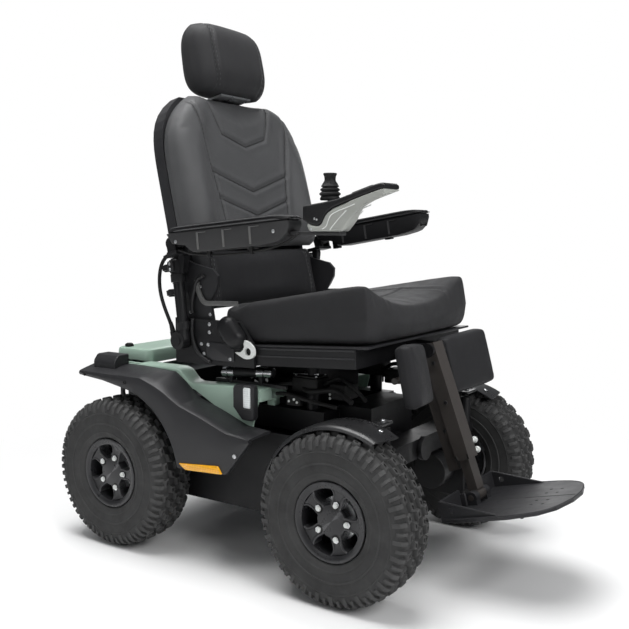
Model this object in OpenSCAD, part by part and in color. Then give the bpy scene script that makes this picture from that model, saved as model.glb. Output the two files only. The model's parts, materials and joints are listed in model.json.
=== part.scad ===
// All terrain power wheelchair: four driven wheels, a rocking front axle, a tilting seat
// with a reclining back, flip-up armrests, a joystick and an elevating centre legrest.
// Millimetres. +X is forward, +Y is the sitter's left, +Z is up, and the floor is Z = 0.

/* [Wheels] */
// Radius of the tyre over its tread
wheel_r = 178; // [165:1:190]
// Width of the tyre
tyre_w = 112; // [100:1:120]
// Thickness of the tyre wall
tyre_wall = 13; // [9:0.5:16]
// Distance between the front and rear axles
wheelbase = 622; // [600:1:680]
// Distance between the wheels' middle planes
track = 583; // [570:1:620]
// Radius of the rim at the tyre's bead
rim_r = 92; // [86:1:98]
// Thickness of the rim's barrel
rim_wall = 7; // [5:0.5:9]
// Thickness of the spoked disc
disc_t = 14; // [10:1:18]
// Number of spokes and wheel bolts
spokes = 5; // [5:1:6]
// Diameter of the bolt circle
bolt_pcd = 76; // [70:1:80]
// Radius of a wheel bolt's head
bolt_r = 7; // [5:0.5:8]
// Radius of the drive shaft
shaft_r = 12; // [9:0.5:15]

/* [Chassis] */
// Width of a chassis rail
rail_w = 40; // [30:1:50]
// Height of a chassis rail
rail_h = 50; // [40:1:60]
// Length of a drive motor's gearbox
gearbox_l = 72; // [64:1:76]
// Underside of the rails above the axles
rail_lift = 122; // [115:1:140]
// Clear height under the battery tray
ground_clear = 112; // [90:1:140]
// Gap between the battery tray and a tyre
tray_clear = 30.5; // [22:0.5:44]
// Wall of the battery tray
tray_wall = 4; // [3:0.5:6]
// Length of a battery along the chair
battery_l = 190; // [150:1:210]
// Gap between a battery and the tray's side
battery_clear = 26; // [12:1:46]
// Height of a battery
battery_h = 160; // [120:1:165]
// Radius of a drive motor's gearbox
gearbox_r = 58; // [52:1:60]
// Radius of a drive motor's can
can_r = 42; // [34:1:46]
// Length of a motor's can inboard of its hanger
can_l = 50; // [30:1:70]
// Radius of the front axle's rocking pin
rock_pin_r = 20; // [14:1:22]
// Width of the front axle beam
beam_w = 60; // [50:1:70]
// Height of the front axle beam
beam_h = 44; // [42:1:56]
// Radius of a tie-down hole
tie_r = 14; // [10:0.5:15]

/* [Bodywork] */
// Distance from the shroud's side to the wheels' middle plane
shroud_clear = 46.5; // [40:0.5:55]
// Thickness of the shroud's walls
shroud_t = 5; // [4:0.5:7]
// Width of a shroud's side rail
shroud_rail_w = 48; // [40:1:52]
// Height of the raised rear deck above its side rails
deck_step = 28; // [20:1:40]
// Thickness of a side panel
panel_t = 5; // [4:0.5:7]
// Clear radius of the rear wheel arch beyond the tyre
arch_gap = 29; // [24:1:36]
// Thickness of a front fender
fender_t = 4; // [3:0.5:6]
// Gap between a front tyre and its fender
fender_gap = 9; // [7:0.5:14]

/* [Seat] */
// Seat frame reference height above the rails
seat_rise = 130; // [125:1:145]
// Slope of the seat, front up
seat_slope = 3.2; // [0:0.1:5]
// Half width of the seat cushion
seat_half = 245; // [225:1:246]
// Length of the seat cushion
seat_l = 410; // [380:1:420]
// Thickness of the seat cushion at its middle
seat_t = 80; // [70:1:90]
// Extra height of the seat cushion's front thigh bolsters
bolster_h = 54; // [30:1:60]
// Width of a seat rail
seat_rail_w = 25; // [20:1:30]
// Height of a seat rail
seat_rail_h = 40; // [34:1:42]
// Radius of the tilt shaft
tilt_r = 14; // [10:0.5:16]

/* [Back] */
// Lean of the back from upright
back_angle = 12.5; // [8:0.5:18]
// How far each side of the back stands wider than the seat cushion
back_extra = 8; // [-10:0.5:8]
// Height of the back cushion's top above the recline pivot
back_top = 575; // [545:1:600]
// Thickness of the back cushion at its side bolsters
back_t = 62; // [50:1:75]
// Radius of a back cane
cane_r = 13; // [10:0.5:15]
// Height of the headrest
head_h = 178; // [155:1:190]
// Width of the headrest
head_w = 256; // [220:1:262]
// Thickness of the headrest
head_t = 124; // [100:1:128]
// Radius of a headrest post
post_r = 6; // [4:0.5:7]

/* [Arms] */
// Length of an armrest pad
arm_l = 336; // [320:1:346]
// Width of an armrest
arm_w = 60; // [52:1:64]
// Thickness of an armrest pad
arm_pad_t = 15; // [12:0.5:20]
// Length of the joystick pod
pod_l = 184; // [176:1:200]
// Width of the joystick pod
pod_w = 62; // [60:1:70]
// Height of the joystick pod
pod_h = 91; // [88:1:98]

/* [Legrest] */
// Forward lean of the legrest column
leg_angle = 20; // [14:0.5:26]
// Width of the legrest column
leg_w = 45; // [42:1:48]
// Depth of the legrest column
leg_d = 32; // [30:1:38]
// Length of the legrest column below its pivot
leg_l = 250; // [235:1:262]
// Distance from the legrest pivot to the footplate pivot
foot_drop = 330; // [320:1:345]
// Width of a calf pad
calf_w = 151; // [140:1:158]
// Height of a calf pad
calf_h = 134; // [120:1:136]
// Thickness of a calf pad
calf_t = 38; // [30:1:40]
// Length of the footplate ahead of its pivot
foot_l = 220; // [200:1:240]
// Half width of the footplate
foot_half = 146; // [130:1:155]
// Upward tilt of the footplate
foot_tilt = 14; // [8:0.5:18]

/* [Hidden] */
$fn = 64;
// Shared clearances and cutting overrun
overrun = 2;
fit = 0.05;
gap = 0.3;
// Width of a plate where it meets a rounded lug, as a share of the lug's radius
neck_share = 0.9;
// Wheel places
axle_x = wheelbase / 2;
axle_z = wheel_r;
wheel_y = track / 2;
tyre_in = wheel_y - tyre_w / 2;
bead_half_share = 0.42;
sidewall_r_share = 0.46;
shoulder_r_share = 0.86;
shoulder_w_share = 0.92;
tread_w_share = 0.66;
disc_out = 32;
hub_r = 36;
hub_t = 12;
window_in = 50;
window_in_share = 0.30;
window_out_share = 0.34;
bolt_h = 9;
// Chassis places
rail_z0 = axle_z + rail_lift;
rail_z1 = rail_z0 + rail_h;
rail_tail = 119;
rail_nose = 131;
rail_x0 = -axle_x - rail_tail;
rail_x1 = axle_x - rail_nose;
motor_gap = 3.5;
motor_out = tyre_in - motor_gap;
rail_y = motor_out - gearbox_l - rail_w / 2;
rail_in = rail_y - rail_w / 2;
rail_out = rail_y + rail_w / 2;
bar_w = 40;
plate_t = 12;
hanger_half = 66;
hanger_drop = 62;
tray_half = tyre_in - tray_clear;
tray_x0 = -axle_x + hanger_half + bar_w / 2;
tray_x1 = rail_x1 - plate_t;
battery_gap = 5;
battery_w = tray_half - tray_wall - battery_gap - battery_clear;
box_half = rail_in + bar_w / 4;
box_l = 150;
box_h = 52;
beam_clear = 20.5;
beam_half = tyre_in - beam_clear;
beam_z0 = axle_z + gearbox_r + motor_gap + gap;
beam_z1 = beam_z0 + beam_h;
rock_z = (beam_z0 + beam_z1) / 2;
nut_r_share = 1.4;
nut_r = rock_pin_r * nut_r_share;
nut_t = 12;
eye_half = 24;
eye_t = 8;
// Front fender places
fender_r0 = wheel_r + fender_gap;
fender_r1 = fender_r0 + fender_t;
fender_y0 = tyre_in;
fender_w_share = 0.76;
fender_a0 = 58;
fender_a1 = 166;
stay_x_step = 45;
stay_x = axle_x + stay_x_step;
stay_clear = 35.5;
stay_y = tyre_in - stay_clear;
stay_r = 12.5;
stay_half = 14;
stay_z1 = axle_z + sqrt(pow(fender_r0, 2) - pow(stay_x - axle_x + stay_half, 2)) - fender_t;
// Bodywork places
shroud_half = wheel_y - shroud_clear;
shroud_in = shroud_half - shroud_rail_w;
rail_cap_z_step = 80;
rail_cap_z = rail_z1 + rail_cap_z_step;
rail_low_z_step = 48;
rail_low_z = rail_z1 + rail_low_z_step;
shroud_x0_step = 122;
shroud_x0 = -axle_x - shroud_x0_step;
panel_x1_step = 214;
panel_x1 = axle_x - panel_x1_step;
shroud_back = 28;
shroud_x1 = panel_x1 - shroud_back;
shroud_l = shroud_x1 - shroud_x0;
deck_x0_step = 14;
deck_x0 = shroud_x0 + deck_x0_step;
deck_x1_step = 132;
deck_x1 = shroud_x0 + deck_x1_step;
deck_edge = 33;
deck_half = shroud_half - deck_edge;
skirt_z_step = 62;
skirt_z = rail_z1 - skirt_z_step;
top_shares = [[0, 1], [0.5, 1], [0.605, 0], [0.86, 0.22], [1, 0.16]];
skirt_shares = [[1, 0.76], [0.94, 0], [0.90, 0.1], [0.78, 0.39], [0.605, 0.70], [0.5, 0.88], [0, 0.88]];
front_block_l = 46;
front_block_z0_step = 24;
front_block_z0 = rail_z1 + front_block_z0_step;
panel_out_step = 32.5;
panel_out = wheel_y + panel_out_step;
panel_in = shroud_half + gap;
panel_x0_step = 115;
panel_x0 = -axle_x - panel_x0_step;
panel_l = panel_x1 - panel_x0;
panel_z1_step = 4;
panel_z1 = rail_cap_z - panel_z1_step;
panel_z0_step = 40;
panel_z0 = axle_z + panel_z0_step;
panel_h = panel_z1 - panel_z0;
arch_r = wheel_r + arch_gap;
// Each station: place along the panel, top height, crease height, lower edge height (0 follows the arch)
panel_shares = [
  [0.000, 1.000, 0.935, 0.880], [0.155, 1.000, 0.935, 0.845], [0.279, 1.000, 0.940, 0],
    [0.394, 0.985, 0.940, 0],
  [0.474, 0.975, 0.875, 0], [0.530, 0.880, 0.815, 0], [0.580, 0.780, 0.745, 0],
    [0.622, 0.710, 0.690, 0.000],
  [0.740, 0.620, 0.600, 0.012], [0.880, 0.490, 0.475, 0.030], [1.000, 0.465, 0.445, 0.400]];
panel_tail_share = 0.2;
lamp_x0_share = 0.875;
lamp_l_share = 0.115;
lamp_shares = [[0, 0.34], [0, 0.92], [0.1, 1], [0.92, 1], [1, 0.92], [1, 0.08], [0.9, 0], [0.5, 0]];
lamp_h = 80;
lamp_t = 18;
lamp_z0_step = 16;
lamp_z0 = rail_z1 - lamp_z0_step;
lens_shares = [[0.54, 0.36], [0.54, 0.94], [0.9, 0.94], [0.9, 0.36]];
lens_t = 4;
tail_x0_share = 0.035;
tail_l_share = 0.14;
tail_w_share = 0.62;
tail_h = 24;
// Places between the rear and front tyres, and heights on the panel
reflector_shares = [[0.1215, 0.065], [0.196, 0.005], [0.599, 0.035], [0.554, 0.115]];
reflector_t = 3;
knob_r = 10;
knob_h = 9;
knob_edge = 20;
knob_y = deck_half - knob_edge;
// Seat places
seat_z = rail_z1 + seat_rise;
seat_rail_y1 = seat_half + gap * 6;
seat_rail_y0 = seat_rail_y1 - seat_rail_w;
seat_rear = -104;
cushion_back = 42;
rail_t1 = 13;
rail_t0 = rail_t1 - seat_rail_h;
pan_t = 5;
pan_top = rail_t1 + pan_t;
pan_lip = 28;
seat_rail_rear = -160;
seat_bar_back = 21;
seat_bar_front = axle_x - seat_bar_back;
seat_bar_w = 25;
seat_rail_front = seat_bar_front + seat_bar_w;
tilt_x = -58;
tilt_z_step = 60;
tilt_z = rail_z1 + tilt_z_step;
lug_y = rail_y;
lug_t = 12;
lug_half = 24;
tower_clear = 8;
tower_y = lug_y + lug_t + tower_clear;
tower_t = 12;
tower_half = 46;
tower_base_t = 6;
tower_base_edge = 26;
tower_base_half = rail_out + tower_base_edge;
housing_clear = 20;
housing_half = rail_in - housing_clear;
housing_x0_step = 38;
housing_x0 = tilt_x + housing_x0_step;
housing_x1_step = 170;
housing_x1 = tilt_x + housing_x1_step;
housing_z1_step = 92;
housing_z1 = rail_z1 + housing_z1_step;
nose_clear = 24;
nose_half = rail_in - nose_clear;
nose_l = 84;
nose_h = 96;
tower_x0_step = 130;
tower_x0 = tilt_x - tower_x0_step;
tower_x1_step = 70;
tower_x1 = tilt_x + tower_x1_step;
shaft_end = 20;
shaft_half = tower_y + tower_t + shaft_end;
stop_x_step = 40;
stop_x = rail_x1 - stop_x_step;
stop_r = 15;
hinge_y0 = seat_rail_y1;
hinge_t = 8;
hinge_y1 = hinge_y0 + hinge_t;
recline_x = -140;
recline_z_step = 20;
recline_z = seat_z + recline_z_step;
recline_pin_r = 10;
hinge_l = 230;
hinge_h = 104;
hinge_x0_step = 30;
hinge_x0 = recline_x - hinge_x0_step;
hinge_z0_step = 54;
hinge_z0 = recline_z - hinge_z0_step;
hinge_shares = [[0, 0], [1, 0.05], [1, 0.5], [0.83, 1], [0, 1]];
cover_r = 25;
cover_t = 26;
cover_rise = 26;
cover_run = 24;
cover_x_step = 156;
cover_x = recline_x + cover_x_step;
cover_z_step = 12;
cover_z = recline_z + cover_z_step;
quadrant_r = 20;
quadrant_hole_r = 9;
quadrant_t = 6;
quadrant_x_step = 176;
quadrant_x = recline_x + quadrant_x_step;
quadrant_z_step = 20;
quadrant_z = recline_z - quadrant_z_step;
// Back places, along the leaning back: forward, across, up from the recline pivot
back_half = seat_half + back_extra;
boss_r = 20;
cane_y = hinge_y1 + gap * 4 + cane_r;
boss_y1 = cane_y + cane_r + gap * 3;
cane_top = 188;
cane_foot_u = 12;
cane_lean = 5.5;
function cane_u(up) = cane_foot_u + up * tan(cane_lean);
stub_half = 6;
back_bar_r = 9;
back_bar_u = -cane_r;
back_bars = [112, 170];
// The cross bars end just inside their stub blocks, clear of the joystick lead
bar_bite = 1;
bar_y = cane_y - stub_half + bar_bite;
shell_u0 = back_bar_u + back_bar_r + gap;
shell_skin = 12;
shell_t = 30;
shell_u1 = shell_u0 + shell_t;
shell_rim = 14;
shell_low = 66;
shell_inset = 8;
pad_u0 = shell_u1 + gap;
pad_low = 88;
lumbar_low = 60;
pad_split = 200;
pad_seam = 4;
lumbar_t = 46;
lumbar_inset = 18;
// Side flanges of the back shell, beside the lumbar pad
flange_t = 8;
flange_step = 4;
flange_in = 1;
flange_y1 = back_half - shell_inset - flange_in;
flange_l = 120;
flange_low = 8;
flange_h = 180;
flange_shares = [[0, 0.02], [0.70, 0], [0.715, 0.38], [0.815, 0.435], [0.95, 0.535], [1, 0.655],
  [0.9, 0.755], [0.48, 0.88], [0.215, 1], [0, 1]];
head_post_y = 45;
head_post_u = shell_u0 + shell_t / 2;
head_post_low_step = 120;
head_post_low = back_top - head_post_low_step;
head_guide_r_step = 7;
head_guide_r = post_r + head_guide_r_step;
head_gap = 3;
head_plate_t = 5;
head_low = back_top + head_gap + head_plate_t;
head_u0 = -6;
// Arm places
arm_u = 60;
arm_up_step = 26;
arm_up = cane_top + arm_up_step;
arm_x = recline_x + arm_u * cos(back_angle) - arm_up * sin(back_angle);
arm_z = recline_z + arm_u * sin(back_angle) + arm_up * cos(back_angle);
// The left arm is set a little steeper than the right one
arm_rise = 5;
arm_rise_left = 9;
arm_clear = 8;
arm_y = hinge_y1 + arm_w / 2 + arm_clear;
arm_pin_r = 7;
arm_lug_w = 22;
ear_t = 8;
ear_r = 14;
slot_share = 1.4;
arm_tail = 4;
arm_deck = 21;
shell_floor = 26.5;
arm_shell_back = 4;
arm_shell_l = arm_l - arm_tail - arm_shell_back;
arm_shell_shares = [[-0.01, 1], [0.005, 0.8], [0.03, 0.5], [0.14, 0.39], [0.2, 0.06], [0.245, 0],
  [0.79, 0.03], [0.925, 0.16], [0.978, 0.44], [1, 0.78], [1, 1]];
gusset_h = 44;
gusset_half = 9;
gusset_shares = [[0, 0], [0.36, 0], [1, 0.72], [1, 1], [0, 1]];
bracket_in = 40;
bracket_run = 77;
bracket_w = 24;
bracket_t = 8;
// Joystick pod places
pod_lead = 33;
pod_drop = 2.2;
arm_front = arm_x + (arm_l - arm_tail) * cos(arm_rise);
pod_x0 = arm_front + pod_lead;
pod_z0 = arm_z + arm_l * sin(arm_rise) - pod_drop;
pod_top_shares = [[0, 0.55], [0.25, 0.62], [0.45, 0.69], [0.9, 0.97], [0.97, 1], [1, 0.97]];
pod_split_shares = [[1, 0.87], [0.95, 0.855], [0.75, 0.735], [0.52, 0.59], [0.38, 0.49], [0.29, 0.36],
  [0.26, 0.22], [0.21, 0.12], [0.125, 0.14], [0.02, 0.23]];
pod_keel_shares = [[0.09, 0.12], [0.075, 0], [0.5, 0], [0.614, 0.3], [0.75, 0.53], [0.85, 0.61],
  [0.96, 0.69], [1, 0.76]];
stick_x_share = 0.25;
stick_z_share = 0.457;
stick_x = pod_x0 + stick_x_share * pod_l;
stick_z = pod_z0 + stick_z_share * pod_h;
stick_well_r = 27;
ring_r1 = 21;
ring_r0 = 15;
ring_t = 8;
ring_pin_r = 2;
ring_pin_l = 30;
stick_r = 5;
ball_r = 9;
boot_r = 20;
boot_rise = 19;
boot_h = 26;
knob_neck_r = 12;
knob_top_r = 15;
knob_l = 32;
knob_shares = [0.4, 0.6, 0.9];
boot_neck_share = 0.72;
boot_step = 1.5;
fold_shares = [0.6, 0.8];
pod_low_share = pod_top_shares[2];
pod_high_share = pod_top_shares[3];
pod_climb = pod_high_share - pod_low_share;
pod_slope = atan(pod_climb[1] * pod_h / (pod_climb[0] * pod_l));
button_r = 6;
button_h = 7;
button_y = 15;
button_proud = 2;
button_x_share = 0.53;
screen_x_share = 0.72;
screen_l = 46;
screen_w = 44;
screen_t = 1;
// Legrest places
leg_x_step = 51;
leg_x = seat_rail_front + leg_x_step;
leg_z_step = 8;
leg_z = seat_z + leg_z_step;
leg_pin_r = 8;
ear_gap = 1;
leg_ear_t = 8;
leg_ear_r = 16;
leg_head = 14;
inner_w = 34;
inner_d = 22;
inner_top = 112;
inner_low_step = 12;
inner_low = foot_drop - inner_low_step;
calf_y = 127;
calf_down = 44;
calf_u = 6;
calf_yaw = 17;
calf_pitch = 6.5;
calf_rod_r = 7;
calf_rod_u = -42;
strut_w = 28;
strut_d = 25;
strut_gap = 3;
strut_top = 8;
strut_l = 268;
strut_tie = 14;
strut_low_tie = 228;
foot_pin_r = 6;
foot_lug_r = 13;
foot_knuckle_w = 20;
foot_plate_t = 8;
foot_under = 3;
foot_plate_z = -foot_lug_r - foot_under - foot_plate_t;
foot_rear = 26;
foot_wall_t = 6;
foot_wall_h = 36;
foot_notch = 44;
foot_side_shares = [0.48, 0.45];
foot_x = leg_x + foot_drop * sin(leg_angle);
foot_z = leg_z - foot_drop * cos(leg_angle);
foot_outline_shares = [[-0.112, -0.95], [-0.112, 0.95], [0.25, 1], [0.55, 0.98], [0.80, 0.86],
  [0.93, 0.62], [1, 0.2],
  [1, -0.2], [0.93, -0.62], [0.80, -0.86], [0.55, -0.98], [0.25, -1]];
// The joystick lead hangs in a bow behind the right back cane, in the leaning back's own directions
cord_r = 4.2;
cord_steps = 18;
// Guide points of the lead's two smooth stretches: behind the cane and up it, as shares of the cane
cord_top_shares = [[-0.106, 1.043], [-0.277, 1.043], [-0.351, 0.798], [-0.319, 0.596]];
cord_low_shares = [[-0.319, 0.596], [-0.287, 0.394], [-0.210, 0.280], [-0.183, 0.128]];
function bend(g, t) = pow(1 - t, 3) * g[0] + 3 * t * pow(1 - t, 2) * g[1]
  + 3 * pow(t, 2) * (1 - t) * g[2] + pow(t, 3) * g[3];
function cord_share(f) = f < 1 ? bend(cord_top_shares, f) : bend(cord_low_shares, f - 1);
function cord_point(f) = [cane_top * cord_share(f)[0] + cane_u(cane_top * cord_share(f)[1]), -cane_y,
  cane_top * cord_share(f)[1]];
cord_route = [for (k = [0 : cord_steps]) cord_point(2 * k / cord_steps)];
gland_r = 6;
gland_l = 12;
grommet_r = 7;
// The frame's origin is under the middle of the whole chair
front_reach = foot_x + foot_l * cos(foot_tilt) - foot_plate_z * sin(foot_tilt);
rear_reach = -axle_x - wheel_r;
frame_x = -(front_reach + rear_reach) / 2;

// Placing helpers
module in_frame() { translate([frame_x, 0, 0]) children(); }
module both_sides() { children(); mirror([0, 1, 0]) children(); }
module on_side(side) { if (side > 0) children(); else mirror([0, 1, 0]) children(); }
module on_seat() { translate([0, 0, seat_z]) rotate([0, -seat_slope, 0]) children(); }
module on_back() { translate([recline_x, 0, recline_z]) rotate([0, -back_angle, 0]) children(); }
module on_arm(side) {
  translate([arm_x, 0, arm_z]) rotate([0, -(side < 0 ? arm_rise : arm_rise_left), 0]) children();
}
module on_leg() { translate([leg_x, 0, leg_z]) rotate([0, -leg_angle, 0]) children(); }
module on_foot() { translate([foot_x, 0, foot_z]) rotate([0, -foot_tilt, 0]) children(); }

// Solid helpers
module block(low, high) { translate(low) cube(high - low); }
module rod_x(x0, x1, y, z, r) { translate([x0, y, z]) rotate([0, 90, 0]) cylinder(h = x1 - x0, r = r); }
module rod_y(x, y0, y1, z, r) { translate([x, y1, z]) rotate([90, 0, 0]) cylinder(h = y1 - y0, r = r); }
module rod_z(x, y, z0, z1, r) { translate([x, y, z0]) cylinder(h = z1 - z0, r = r); }
// A flat outline drawn in X and Z, thick from y0 to y1
module slab_y(y0, y1) { translate([0, y1, 0]) rotate([90, 0, 0]) linear_extrude(y1 - y0) children(); }
function spread(shares, x0, z0, l, h) = [for (p = shares) [x0 + p[0] * l, z0 + p[1] * h]];
function lower_first(points) = [for (i = [len(points) - 1 : -1 : 0]) points[i]];

// A closed sheet between two grids of points, row by row
module sheet(outer, inner) {
  rows = len(outer);
  cols = len(outer[0]);
  size = rows * cols;
  points = concat([for (row = outer) for (p = row) p], [for (row = inner) for (p = row) p]);
  cells = [for (j = [0 : rows - 2]) for (i = [0 : cols - 2]) j * cols + i];
  rim = concat([for (i = [0 : cols - 2]) [i, i + 1]],
    [for (j = [0 : rows - 2]) [j * cols + cols - 1, (j + 1) * cols + cols - 1]],
    [for (i = [cols - 1 : -1 : 1]) [(rows - 1) * cols + i, (rows - 1) * cols + i - 1]],
    [for (j = [rows - 1 : -1 : 1]) [j * cols, (j - 1) * cols]]);
  faces = concat(
    [for (c = cells) each [[c, c + 1, c + cols + 1], [c, c + cols + 1, c + cols]]],
    [for (c = cells) each [[size + c, size + c + cols + 1, size + c + 1],
      [size + c, size + c + cols, size + c + cols + 1]]],
    [for (e = rim) each [[e[0], size + e[0], size + e[1]], [e[0], size + e[1], e[1]]]]);
  polyhedron(points = points, faces = faces, convexity = 10);
}

// A padded form: place(s, t, side) gives the point on the face (side 1) or underside (side 0)
function eased(count) = [for (i = [0 : count]) sin(90 * (2 * i / count - 1))];
module pillow(cols, rows, place) {
  face = [for (t = eased(rows)) [for (s = eased(cols)) place(s, t, 1)]];
  under = [for (t = eased(rows)) [for (s = eased(cols)) place(s, t, 0)]];
  sheet(face, under);
}
// How full a pad is from its middle to its edge
function full(a, sharp) = pow(max(0, 1 - pow(abs(a), sharp)), 1 / 2.4);
// Height of the seam band between a pad's face and its underside
band = 1;
function groove(a, at, half) = max(0, 1 - abs(a - at) / half);

// Wheels
module tyre_section() {
  bead = tyre_w * bead_half_share;
  wall_h = wheel_r - rim_r;
  outer = [[rim_r, bead], [rim_r + wall_h * sidewall_r_share, tyre_w / 2],
    [rim_r + wall_h * shoulder_r_share, tyre_w / 2 * shoulder_w_share],
      [wheel_r, tyre_w / 2 * tread_w_share]];
  inner = [[wheel_r - tyre_wall, tyre_w / 2 * tread_w_share - tyre_wall / 2],
    [rim_r + wall_h * sidewall_r_share, tyre_w / 2 - tyre_wall], [rim_r, bead - tyre_wall]];
  half = concat(outer, inner);
  outline = concat([for (p = outer) [p[0] + gap, p[1]]], [for (p = lower_first(outer)) [p[0] + gap, -p[1]]],
    [for (p = lower_first(inner)) [p[0] + gap, -p[1]]], [for (p = inner) [p[0] + gap, p[1]]]);
  polygon(len(half) > 0 ? [for (p = outline) [min(p[0], wheel_r), p[1]]] : []);
}
module wheel_at(front, side) {
  translate([front * axle_x, 0, axle_z]) on_side(side) translate([0, wheel_y, 0]) rotate([-90, 0,
    0]) children();
}
module tyre(front, side) {
  color("dimgray") wheel_at(front, side) rotate_extrude() tyre_section();
}
module rim(front, side) {
  barrel = tyre_w * bead_half_share;
  window_out = rim_r - rim_wall - overrun;
  color("black") wheel_at(front, side) difference() {
    union() {
      difference() {
        translate([0, 0, -barrel]) cylinder(h = 2 * barrel, r = rim_r);
        translate([0, 0, -barrel - overrun]) cylinder(h = 2 * (barrel + overrun), r = rim_r - rim_wall);
      }
      translate([0, 0, disc_out - disc_t]) cylinder(h = disc_t, r = rim_r - rim_wall / 2);
    }
    for (k = [0 : spokes - 1]) rotate((k + 1 / 2) * 360 / spokes)
      translate([0, 0, disc_out - disc_t - overrun]) linear_extrude(disc_t + 2 * overrun)
        polygon([[window_in, -window_in * window_in_share], [window_in, window_in * window_in_share],
          [window_out, window_out * window_out_share], [window_out, -window_out * window_out_share]]);
    for (k = [0 : spokes - 1]) rotate(k * 360 / spokes) translate([bolt_pcd / 2, 0,
      disc_out - disc_t - overrun])
      cylinder(h = disc_t + 2 * overrun, r = bolt_r / 2 + gap);
  }
}
module hub(front, side) {
  flange_top = disc_out - disc_t - gap;
  shaft_end = tyre_in - wheel_y - motor_gap - (motor_out - rail_out) / 2;
  color("silver") wheel_at(front, side) {
    translate([0, 0, flange_top - hub_t]) cylinder(h = hub_t, r = bolt_pcd / 2 + bolt_r);
    translate([0, 0, shaft_end]) cylinder(h = flange_top - shaft_end, r = shaft_r);
    for (k = [0 : spokes - 1]) rotate(k * 360 / spokes) translate([bolt_pcd / 2, 0,
      flange_top - hub_t / 2]) {
      cylinder(h = disc_t + gap + bolt_h + hub_t / 2, r = bolt_r / 2);
      translate([0, 0, disc_t + 2 * gap + hub_t / 2]) cylinder(h = bolt_h, r = bolt_r, $fn = 6);
    }
  }
}
module tyre_fr() { tyre(1, -1); }
module rim_fr() { rim(1, -1); }
module hub_fr() { hub(1, -1); }
module tyre_fl() { tyre(1, 1); }
module rim_fl() { rim(1, 1); }
module hub_fl() { hub(1, 1); }
module tyre_rr() { tyre(-1, -1); }
module rim_rr() { rim(-1, -1); }
module hub_rr() { hub(-1, -1); }
module tyre_rl() { tyre(-1, 1); }
module rim_rl() { rim(-1, 1); }
module hub_rl() { hub(-1, 1); }

// A motor hanger: a plate beside a motor with a hole for its can
module hanger(x, top) {
  difference() {
    block([x - hanger_half, rail_out - plate_t, axle_z - hanger_drop], [x + hanger_half, rail_out, top]);
    rod_y(x, rail_out - plate_t - overrun, rail_out + overrun, axle_z, can_r + gap);
  }
}
module motor(x) {
  difference() {
    union() {
      rod_y(x, rail_out, motor_out, axle_z, gearbox_r);
      rod_y(x, rail_out - plate_t - can_l, rail_out, axle_z, can_r);
    }
    rod_y(x, (rail_out + motor_out) / 2 - overrun, motor_out + overrun, axle_z, shaft_r + fit);
  }
}
module tie_eye(x, y, z) {
  difference() {
    block([x - eye_half, y - eye_t / 2, z - eye_half], [x + eye_half, y + eye_t / 2, z + eye_half]);
    rod_y(x, y - eye_t, y + eye_t, z, tie_r);
  }
}
// A tie-down eye that lies flat, open from below
module flat_eye(x, y, z) {
  difference() {
    block([x - eye_half, y - eye_half, z - eye_t / 2], [x + eye_half, y + eye_half, z + eye_t / 2]);
    rod_z(x, y, z - eye_t, z + eye_t, tie_r);
  }
}
module chassis_frame() {
  eye_z = rail_z1 - eye_half;
  color("black") {
    both_sides() {
      block([rail_x0, rail_in, rail_z0], [rail_x1, rail_out, rail_z1]);
      hanger(-axle_x, rail_z0 + overrun);
      tie_eye(rail_x0 - eye_half + overrun, rail_y, eye_z);
      flat_eye(rail_x1 + eye_half - overrun, rail_y, eye_z);
    }
    block([rail_x0, -rail_in - overrun, rail_z0], [rail_x0 + bar_w, rail_in + overrun, rail_z1]);
    block([rail_x1 - plate_t, -rail_out, beam_z0], [rail_x1, rail_out, rail_z1]);
    rod_x(rail_x1 - plate_t, axle_x + beam_w / 2 + gap + nut_t, 0, rock_z, rock_pin_r);
    rod_x(axle_x + beam_w / 2 + gap, axle_x + beam_w / 2 + gap + nut_t, 0, rock_z, nut_r);
    rod_x(rail_x1 - overrun, axle_x - beam_w / 2 - gap, 0, rock_z, nut_r);
    block([rail_x1 - overrun, -nose_half, rock_z], [rail_x1 + nose_l, nose_half, rock_z + nose_h]);
  }
}
module battery_tray() {
  color("dimgray") difference() {
    block([tray_x0, -tray_half, ground_clear], [tray_x1, tray_half, rail_z0]);
    block([tray_x0 + tray_wall, -tray_half + tray_wall, ground_clear + tray_wall],
      [tray_x1 - tray_wall, tray_half - tray_wall, rail_z0 + overrun]);
  }
}
module batteries() {
  x1 = tray_x1 - tray_wall - battery_gap;
  z0 = ground_clear + tray_wall;
  color("gray") both_sides()
    block([x1 - battery_l, battery_gap, z0], [x1, battery_gap + battery_w, z0 + battery_h]);
}
module controller_box() {
  x0 = rail_x0 + bar_w;
  color("slategray") block([x0, -box_half, rail_z1], [x0 + box_l, box_half, rail_z1 + box_h]);
}
module rear_motors() { color("black") both_sides() motor(-axle_x); }

// Seat tower: base on the rails, cheeks that carry the tilt shaft, and two rest posts at the front
module seat_tower() {
  color("black") {
    block([tower_x0, -tower_base_half, rail_z1], [tower_x1, tower_base_half, rail_z1 + tower_base_t]);
    block([housing_x0, -housing_half, rail_z1], [housing_x1, housing_half, housing_z1]);
    both_sides() {
      difference() {
        union() {
          block([tilt_x - tower_half, tower_y, rail_z1], [tilt_x + tower_half, tower_y + tower_t, tilt_z]);
          rod_y(tilt_x, tower_y, tower_y + tower_t, tilt_z, tower_half / 2);
        }
        rod_y(tilt_x, tower_y - overrun, tower_y + tower_t + overrun, tilt_z, tilt_r + fit);
      }
      rod_z(stop_x, rail_y, rail_z1, stop_top, stop_r);
    }
  }
}
stop_top = seat_z + stop_x * tan(seat_slope) + rail_t0 / cos(seat_slope) - stop_r * tan(seat_slope) - gap;
module tilt_shaft() { color("silver") rod_y(tilt_x, -shaft_half, shaft_half, tilt_z, tilt_r); }

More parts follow.
